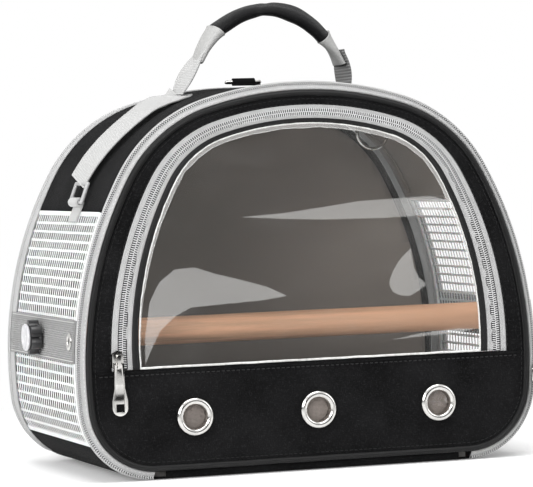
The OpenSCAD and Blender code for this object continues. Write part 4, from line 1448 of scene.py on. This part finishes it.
class CARRIER_OT_perch(bpy.types.Operator):
    """Makes the wooden perch, its fittings and the star knobs"""

    bl_idname = "carrier.perch"
    bl_label = "Perch and Knobs"

    def execute(self, context):
        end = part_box("perch")[1][0] / MM
        tip = [end - 1.0, end - 0.4, end]
        rows = []
        for x in [-x for x in tip[::-1]] + spread(4 - end, end - 4, 60) + tip:
            worn = 0.9 * (1 - min(1.0, end - abs(x))) ** 2
            row = []
            for a in circle(40):
                r = 11 - worn + 0.06 * ripple(x, 40 * math.cos(a), 40 * math.sin(a), 20, 3)
                row.append((x, r * math.cos(a), PERCH_Z + r * math.sin(a)))
            rows.append(row)
        Maker().loft(rows).done("perch_rod", "wood", "shell", "perch")
        dress("perch_inserts", "brass")
        dress("inner_washers", "steel")
        dress("outer_washers", "steel")
        for side, label in SIDES:
            body = f"knob_{label}_body"
            copy_of("knob_" + label, "star_knob_" + label, "star", body, 0.5)
            face = max(abs(corner[0]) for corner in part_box("knob_" + label)) / MM
            # A pale cap over the knob's end face: a painted reflection of the white surroundings.
            cap = turned((side * face, 0, PERCH_Z), (side, 0, 0), KNOB_CAP, sides=48)
            Maker().loft(cap).done("knob_cap_" + label, "cap", body, hard=70)
            collar = turned((side * (face - 11.2), 0, PERCH_Z), (side, 0, 0), KNOB_COLLAR, sides=48)
            Maker().loft(collar, closed=True).done("knob_collar_" + label, "star", body, hard=60)
        return {"FINISHED"}


def spline(points, count):
    """Smooth points through the given x and z points."""
    pts = [Vector((x, 0, z)) for x, z in points]
    out = []
    segments = len(pts) - 1
    for t in spread(0, segments, count):
        i = min(int(t), segments - 1)
        f = t - i
        a, b, c, d = pts[max(i - 1, 0)], pts[i], pts[i + 1], pts[min(i + 2, segments)]
        out.append(0.5 * (2 * b + (c - a) * f + (2 * a - 5 * b + 4 * c - d) * f * f + (3 * b - a - 3 * c + d) * f ** 3))
    return out


def frame_at(path, i):
    """The way along a path over the carrier at its point i, and the way square to that and to the depth."""
    way = (path[min(i + 1, len(path) - 1)] - path[max(i - 1, 0)]).normalized()
    return way, Vector((0, 1, 0)).cross(way).normalized()


def strap_rows(path, width, thick, twist):
    """Cross-sections of a flat strap along a path, turned by twist degrees about its length."""
    rows = []
    for i, p in enumerate(path):
        way, normal = frame_at(path, i)
        a = math.radians(twist(i / (len(path) - 1)))
        side = way.cross(normal)
        across = side * math.cos(a) + normal * math.sin(a)
        out = normal * math.cos(a) - side * math.sin(a)
        rows.append([p + across * share * width / 2 + out * high * thick for share, high in STRAP])
    return rows


def oval(a, powers, wide, thick):
    """How far across and how high a softened oval reaches at the angle a."""
    return [
        math.copysign(abs(v) ** power, v) * reach
        for v, power, reach in zip((math.cos(a), math.sin(a)), powers, (wide, thick))
    ]


def leaned(p, normal, across, high, turn):
    """The point beside p that lies across and high of it, turned about the path."""
    depth = across * math.cos(turn) - high * math.sin(turn)
    return p + Vector((0, depth, 0)) + normal * (across * math.sin(turn) + high * math.cos(turn))


def upright(path, i):
    """The way up, square to a path over the carrier, at its point i."""
    normal = frame_at(path, i)[1]
    return -normal if normal.z < 0 else normal


class CARRIER_OT_handle(bpy.types.Operator):
    """Makes the padded grip, its sleeves, the webbing straps and the loops"""

    bl_idname = "carrier.handle"
    bl_label = "Handle"

    def execute(self, context):
        line = spline(GRIP_LINE, 70)
        rows = []
        for i, p in enumerate(line):
            t = i / 70
            normal = upright(line, i)
            end = min(1.0, (min(t, 1 - t) * 70 + 0.4) / 7)
            wide = 13.2 * (0.78 + 0.22 * end)
            thick = 5.2 * (1 - 0.18 * math.exp(-((t - 0.47) / 0.1) ** 2)) * (0.42 + 0.58 * end)
            turn = math.radians(6 + 20 * held((t - 0.35) / 0.3))
            row = []
            for a in circle(28):
                flat, high = oval(a, (0.75, 0.85), wide, thick)
                upper = math.sin(a) > 0
                lump = 0.3 * ripple(i * 1.6, flat, high * 2, 9, 8.0) + 0.5 * ripple(i * 0.5, flat * 1.7, 0, 9, 2.0)
                lump -= 0.9 * math.exp(-((t - 0.46 - 0.004 * flat) / 0.018) ** 2) * (1.0 if upper else 0.4)
                row.append(leaned(p, normal, flat, high + (lump if upper else -lump), turn))
            rows.append(row)
        grip = Maker().loft(rows).done("padded_grip", "grip", "handle", "grip")
        swell(grip, frames=14, cap=context.scene.carrier_sizes.grip_swell)
        smooth = grip.modifiers.new("Smooth", "SUBSURF")
        smooth.levels = smooth.render_levels = 1

        for (side, label), points, lean in zip(SIDES, SLEEVE_LINES, (6, 26)):
            path = spline(points, 20)
            outer, inner = [], []
            for i, p in enumerate(path):
                t = i / 20
                normal = upright(path, i)
                turn = math.radians(lean * (1 - t))
                outer.append([])
                inner.append([])
                for a in circle(32):
                    across, high = oval(a, (0.7, 0.9), 14.4 - 2.0 * t ** 0.7, 6.6 - 3.9 * t ** 0.6)
                    wrinkle = 0.25 * ripple(i, across, high * 2, 7, 1.5 + side / 2)
                    outer[-1].append(leaned(p, normal, across, high + wrinkle, turn))
                    inner[-1].append(leaned(p, normal, across * 0.93, high * 0.72, turn))
            Maker().loft(outer + inner[::-1], closed=True).done(
                "grip_sleeve_" + label, "sleeve", "handle", *(["grip_sleeves"] if side < 0 else []), subdivide=1
            )

        for side, label in SIDES:
            foot = Vector((side * HANDLE_FOOT[0], 0, HANDLE_FOOT[1]))
            lean = math.radians(60)
            top = Vector((8 + side * 67 * math.sin(lean), 0, 290.3 + 67 * math.cos(lean)))
            path = [foot.lerp(top, t) + Vector((side * 1.2 * math.sin(math.pi * t), 0, 0)) for t in spread(0, 1, 24)]
            rows = strap_rows(path, 25 if side < 0 else 24, 1.8, lambda t: -12 * math.sin(math.pi * min(1, t * 1.1)))
            # The right upper strap takes the darker copy of the webbing: painted shade on the side turned from the
            # light.
            Maker().loft(rows).done(
                "upper_webbing_" + label, "webbing" if side < 0 else "webbing_back",
                ("shell", "handle", (side * 0.07, 0, 0.2905), (side * 0.0695, 0, 0.2965)),
                "upper_strap_" + label, hard=60,
            )
            first, last = loaf.length_at(222.5, 8), loaf.half - 68.5
            outermost = loaf.spot(first, REACH + 1.2)[0]
            path = []
            for s in loaf.run(first, last, 3):
                rest = (last - s) / (last - first)
                x, z, _, _ = loaf.spot(s, REACH + 1.4 + 6.2 * min(1.0, rest / 0.35) ** 0.8)
                share = (x - HANDLE_FOOT[0]) / (outermost - HANDLE_FOOT[0])
                path.append(Vector((side * x, -RING_FRONT * share - 30 * math.sin(math.pi * share), z)))
            path.append(foot + Vector((0, 0, -0.9)))
            rows = strap_rows(path, 25, 1.6, lambda t: side * 17 * min(1.0, (1 - t) / 0.2))
            Maker().loft(rows).done("lower_webbing_" + label, "webbing", "shell", "lower_strap_" + label, hard=60)

        for side, label in SIDES:
            copy_of("anchor_loop_" + label, "anchor_webbing_" + label, "webbing", "shell", 0.3)
            copy_of("strap_ring_" + label, "oblong_ring_" + label, "ring", f"strap_ring_{label}_body", 0)
        return {"FINISHED"}


class CARRIER_OT_metal_parts(bpy.types.Operator):
    """Makes the sliders, pull tabs, rings and their sewn tabs"""

    bl_idname = "carrier.metal_parts"
    bl_label = "Metal Parts"

    def execute(self, context):
        for kind, ending, bevel in (("slider", "_body", 0.45), ("pull", "_tab", 0.3)):
            for place in ("window_", "front_", "rear_"):
                copy_of(place + kind, place + kind + ending, "steel", place + kind + "_body", bevel)
        copy_of("top_ring", "crown_ring", "steel", "top_ring_body", 0)
        copy_of("inner_ring", "hanging_ring", "steel", "inner_ring_body", 0)
        copy_of("top_ring_tab", "crown_ring_tab", "black_cloth", "shell", 0.3)
        copy_of("inner_ring_tab", "hanging_ring_tab", "lining", "shell", 0.3)
        return {"FINISHED"}


def swell(obj, frames, cap):
    """Blows the padding up by a short cloth run and holds every point within cap of where it was."""
    scene = bpy.context.scene
    before = [v.co.copy() for v in obj.data.vertices]
    low_x = min(v.x for v in before)
    high_x = max(v.x for v in before)
    group = obj.vertex_groups.new(name="held")
    for i, co in enumerate(before):
        near = min(co.x - low_x, high_x - co.x)
        group.add([i], 1.0 if near < 0.003 else 0.0, "REPLACE")
    cloth = obj.modifiers.new("Padding", "CLOTH")
    cloth.settings.use_pressure = True
    cloth.settings.uniform_pressure_force = 4
    cloth.settings.quality = 5
    cloth.settings.tension_stiffness = 30
    cloth.settings.compression_stiffness = 30
    cloth.settings.bending_stiffness = 2
    cloth.settings.vertex_group_mass = "held"
    cloth.settings.effector_weights.gravity = 0
    cloth.collision_settings.use_collision = False
    for frame_number in range(1, frames + 1):
        scene.frame_set(frame_number)
    shaped = obj.evaluated_get(bpy.context.evaluated_depsgraph_get()).to_mesh()
    after = [v.co.copy() for v in shaped.vertices]
    obj.modifiers.remove(cloth)
    obj.vertex_groups.remove(group)
    scene.frame_set(1)
    for v, a, b in zip(obj.data.vertices, before, after):
        step = b - a
        if step.length > cap:
            step *= cap / step.length
        v.co = a + step


# The camera fitted to the photo: metres, degrees and millimetres of lens.
CAMERA_PLACE = (-0.7925, -2.2999, 0.2413)
CAMERA_TURN, CAMERA_RISE, CAMERA_ROLL = -19.02, 1.65, -1.73
CAMERA_LENS = 206.95
# Each lamp's name, place, aim, width, height and power.
LAMPS = (
    ("top softbox", (-0.2, -0.5, 2.6), (0, 0, 0.1), 2.4, 2.0, 52),
    ("left softbox", (-2.3, -1.2, 1.3), (0, 0, 0.15), 1.4, 1.6, 40),
    ("right softbox", (2.2, -1.5, 1.2), (0, 0, 0.15), 1.0, 1.6, 12),
    ("front softbox", (-1.9, -2.5, 0.9), (0, 0, 0.17), 0.9, 0.7, 30),
)
# Dark cards that only reflections show.
CARDS = (
    ("dark card", [(-3.5, -3.4, 0.05), (3.5, -3.4, 0.05), (3.5, -3.4, 1.5), (-3.5, -3.4, 1.5)]),
    ("dark side card", [(-3.0, -2.6, 0.05), (-3.0, 0.6, 0.05), (-3.0, 0.6, 0.9), (-3.0, -2.6, 0.9)]),
)


class CARRIER_OT_stage(bpy.types.Operator):
    """Makes the floor, the soft lights, the white surroundings and the camera"""

    bl_idname = "carrier.stage"
    bl_label = "Stage"

    def execute(self, context):
        scene = context.scene
        scene.view_settings.view_transform = "Standard"

        def linked(name, data):
            """A new object of the data in the scene."""
            obj = bpy.data.objects.new(name, data)
            scene.collection.objects.link(obj)
            return obj

        turn, rise, roll = (math.radians(a) for a in (CAMERA_TURN, CAMERA_RISE, CAMERA_ROLL))
        back = Vector((math.sin(turn) * math.cos(rise), -math.cos(turn) * math.cos(rise), math.sin(rise)))
        right = (-back).cross(UPWARDS).normalized()
        up = right.cross(-back)
        right, up = right * math.cos(roll) + up * math.sin(roll), up * math.cos(roll) - right * math.sin(roll)
        camera = linked("camera", bpy.data.cameras.new("camera"))
        camera.data.lens = CAMERA_LENS
        camera.data.sensor_width = 36
        camera.data.clip_end = 50
        camera.matrix_world = Matrix.Translation(CAMERA_PLACE) @ Matrix((right, up, back)).transposed().to_4x4()
        scene.camera = camera

        ground = Finish("studio floor", Roughness=0.9, Specular_IOR_Level=0.1)
        x, y, _, at = ground.place()
        faint = ground.cloud(at, 3.0, 2.0, 0.5)
        ground.set(Base_Color=ground.between(tint("floor"), tint("floor", 1.02), faint))
        lift = ground.node("Emission", inputs={"Color": (1, 1, 1), "Strength": 0.16})
        near = ground.node("AddShader", inputs={0: ground.base, 1: lift})
        white = ground.node("Emission", inputs={"Color": (1, 1, 1), "Strength": 1.0})
        away = ((x * x + y * y) ** 0.5).span(0.27, 0.62)
        fading = ground.node("MixShader", inputs={0: away, 1: near, 2: white})
        ground.shown(ground.node("MixShader", inputs={0: ground.directly(), 1: ground.base, 2: fading}))
        profile = [(y, 0.0) for y in spread(-6, 6, 20)[:-1]]
        profile += [(6 + 3 * math.sin(a), 3 - 3 * math.cos(a)) for a in spread(0, math.pi / 2, 20)] + [(9, 9.0004)]
        sweep = bpy.data.meshes.new("studio_floor")
        sweep.from_pydata(
            [(x, y, z - 0.0004) for y, z in profile for x in (-9, 0, 9)], [],
            [(k, k + 1, k + 4, k + 3) for row in range(len(profile) - 1) for k in (row * 3, row * 3 + 1)],
        )
        sweep.shade_smooth()
        sweep.materials.append(ground.material)
        linked("studio_floor", sweep)

        for name, place, aim, width, height, power in LAMPS:
            light = bpy.data.lights.new(name, "AREA")
            light.shape = "RECTANGLE"
            light.size, light.size_y = width, height
            light.energy = power
            lamp = linked(name, light)
            lamp.location = place
            lamp.rotation_euler = (Vector(place) - Vector(aim)).to_track_quat("Z", "Y").to_euler()

        dark = Finish("dark card", Base_Color=(0.01, 0.01, 0.01), Roughness=0.9, Specular_IOR_Level=0.0)
        for name, corners in CARDS:
            data = bpy.data.meshes.new(name)
            data.from_pydata(corners, [], [(0, 1, 2, 3)])
            data.materials.append(dark.material)
            card = linked(name, data)
            card.visible_camera = card.visible_diffuse = card.visible_shadow = card.visible_transmission = False

        scene.world = bpy.data.worlds.new("studio")
        sky = Nodes(scene.world, "World")
        bright = sky.node("Background", inputs={"Color": (1, 1, 1), "Strength": 1.0})
        soft = sky.node("Background", inputs={"Color": (1, 1, 1), "Strength": 0.5})
        sky.shown(sky.node("MixShader", inputs={0: sky.directly(), 1: soft, 2: bright}))
        return {"FINISHED"}


class CARRIER_PT_panel(bpy.types.Panel):
    """Lists the carrier's sizes, colours and operators"""

    bl_label = "Bird Travel Carrier"
    bl_idname = "CARRIER_PT_panel"
    bl_space_type = "VIEW_3D"
    bl_region_type = "UI"
    bl_category = "Carrier"

    def draw(self, context):
        for group in (context.scene.carrier_sizes, context.scene.carrier_colours):
            box = self.layout.box()
            for name in group.__annotations__:
                box.prop(group, name)
        for operator in OPERATORS:
            self.layout.operator(operator.bl_idname)


OPERATORS = (
    CARRIER_OT_stage,
    CARRIER_OT_shell_cloth,
    CARRIER_OT_end_panels,
    CARRIER_OT_piping,
    CARRIER_OT_perimeter_zips,
    CARRIER_OT_rear_edge_tape,
    CARRIER_OT_window,
    CARRIER_OT_side_nets,
    CARRIER_OT_side_bands,
    CARRIER_OT_perch,
    CARRIER_OT_handle,
    CARRIER_OT_metal_parts,
)
CLASSES = (CARRIER_PG_sizes, CARRIER_PG_colours, *OPERATORS, CARRIER_PT_panel)


def register():
    for kind in CLASSES:
        bpy.utils.register_class(kind)
    bpy.types.Scene.carrier_sizes = bpy.props.PointerProperty(type=CARRIER_PG_sizes)
    bpy.types.Scene.carrier_colours = bpy.props.PointerProperty(type=CARRIER_PG_colours)


def unregister():
    del bpy.types.Scene.carrier_colours
    del bpy.types.Scene.carrier_sizes
    for kind in reversed(CLASSES):
        bpy.utils.unregister_class(kind)


def main():
    register()
    for operator in OPERATORS:
        group, name = operator.bl_idname.split(".")
        getattr(getattr(bpy.ops, group), name)()


if __name__ == "__main__":
    main()
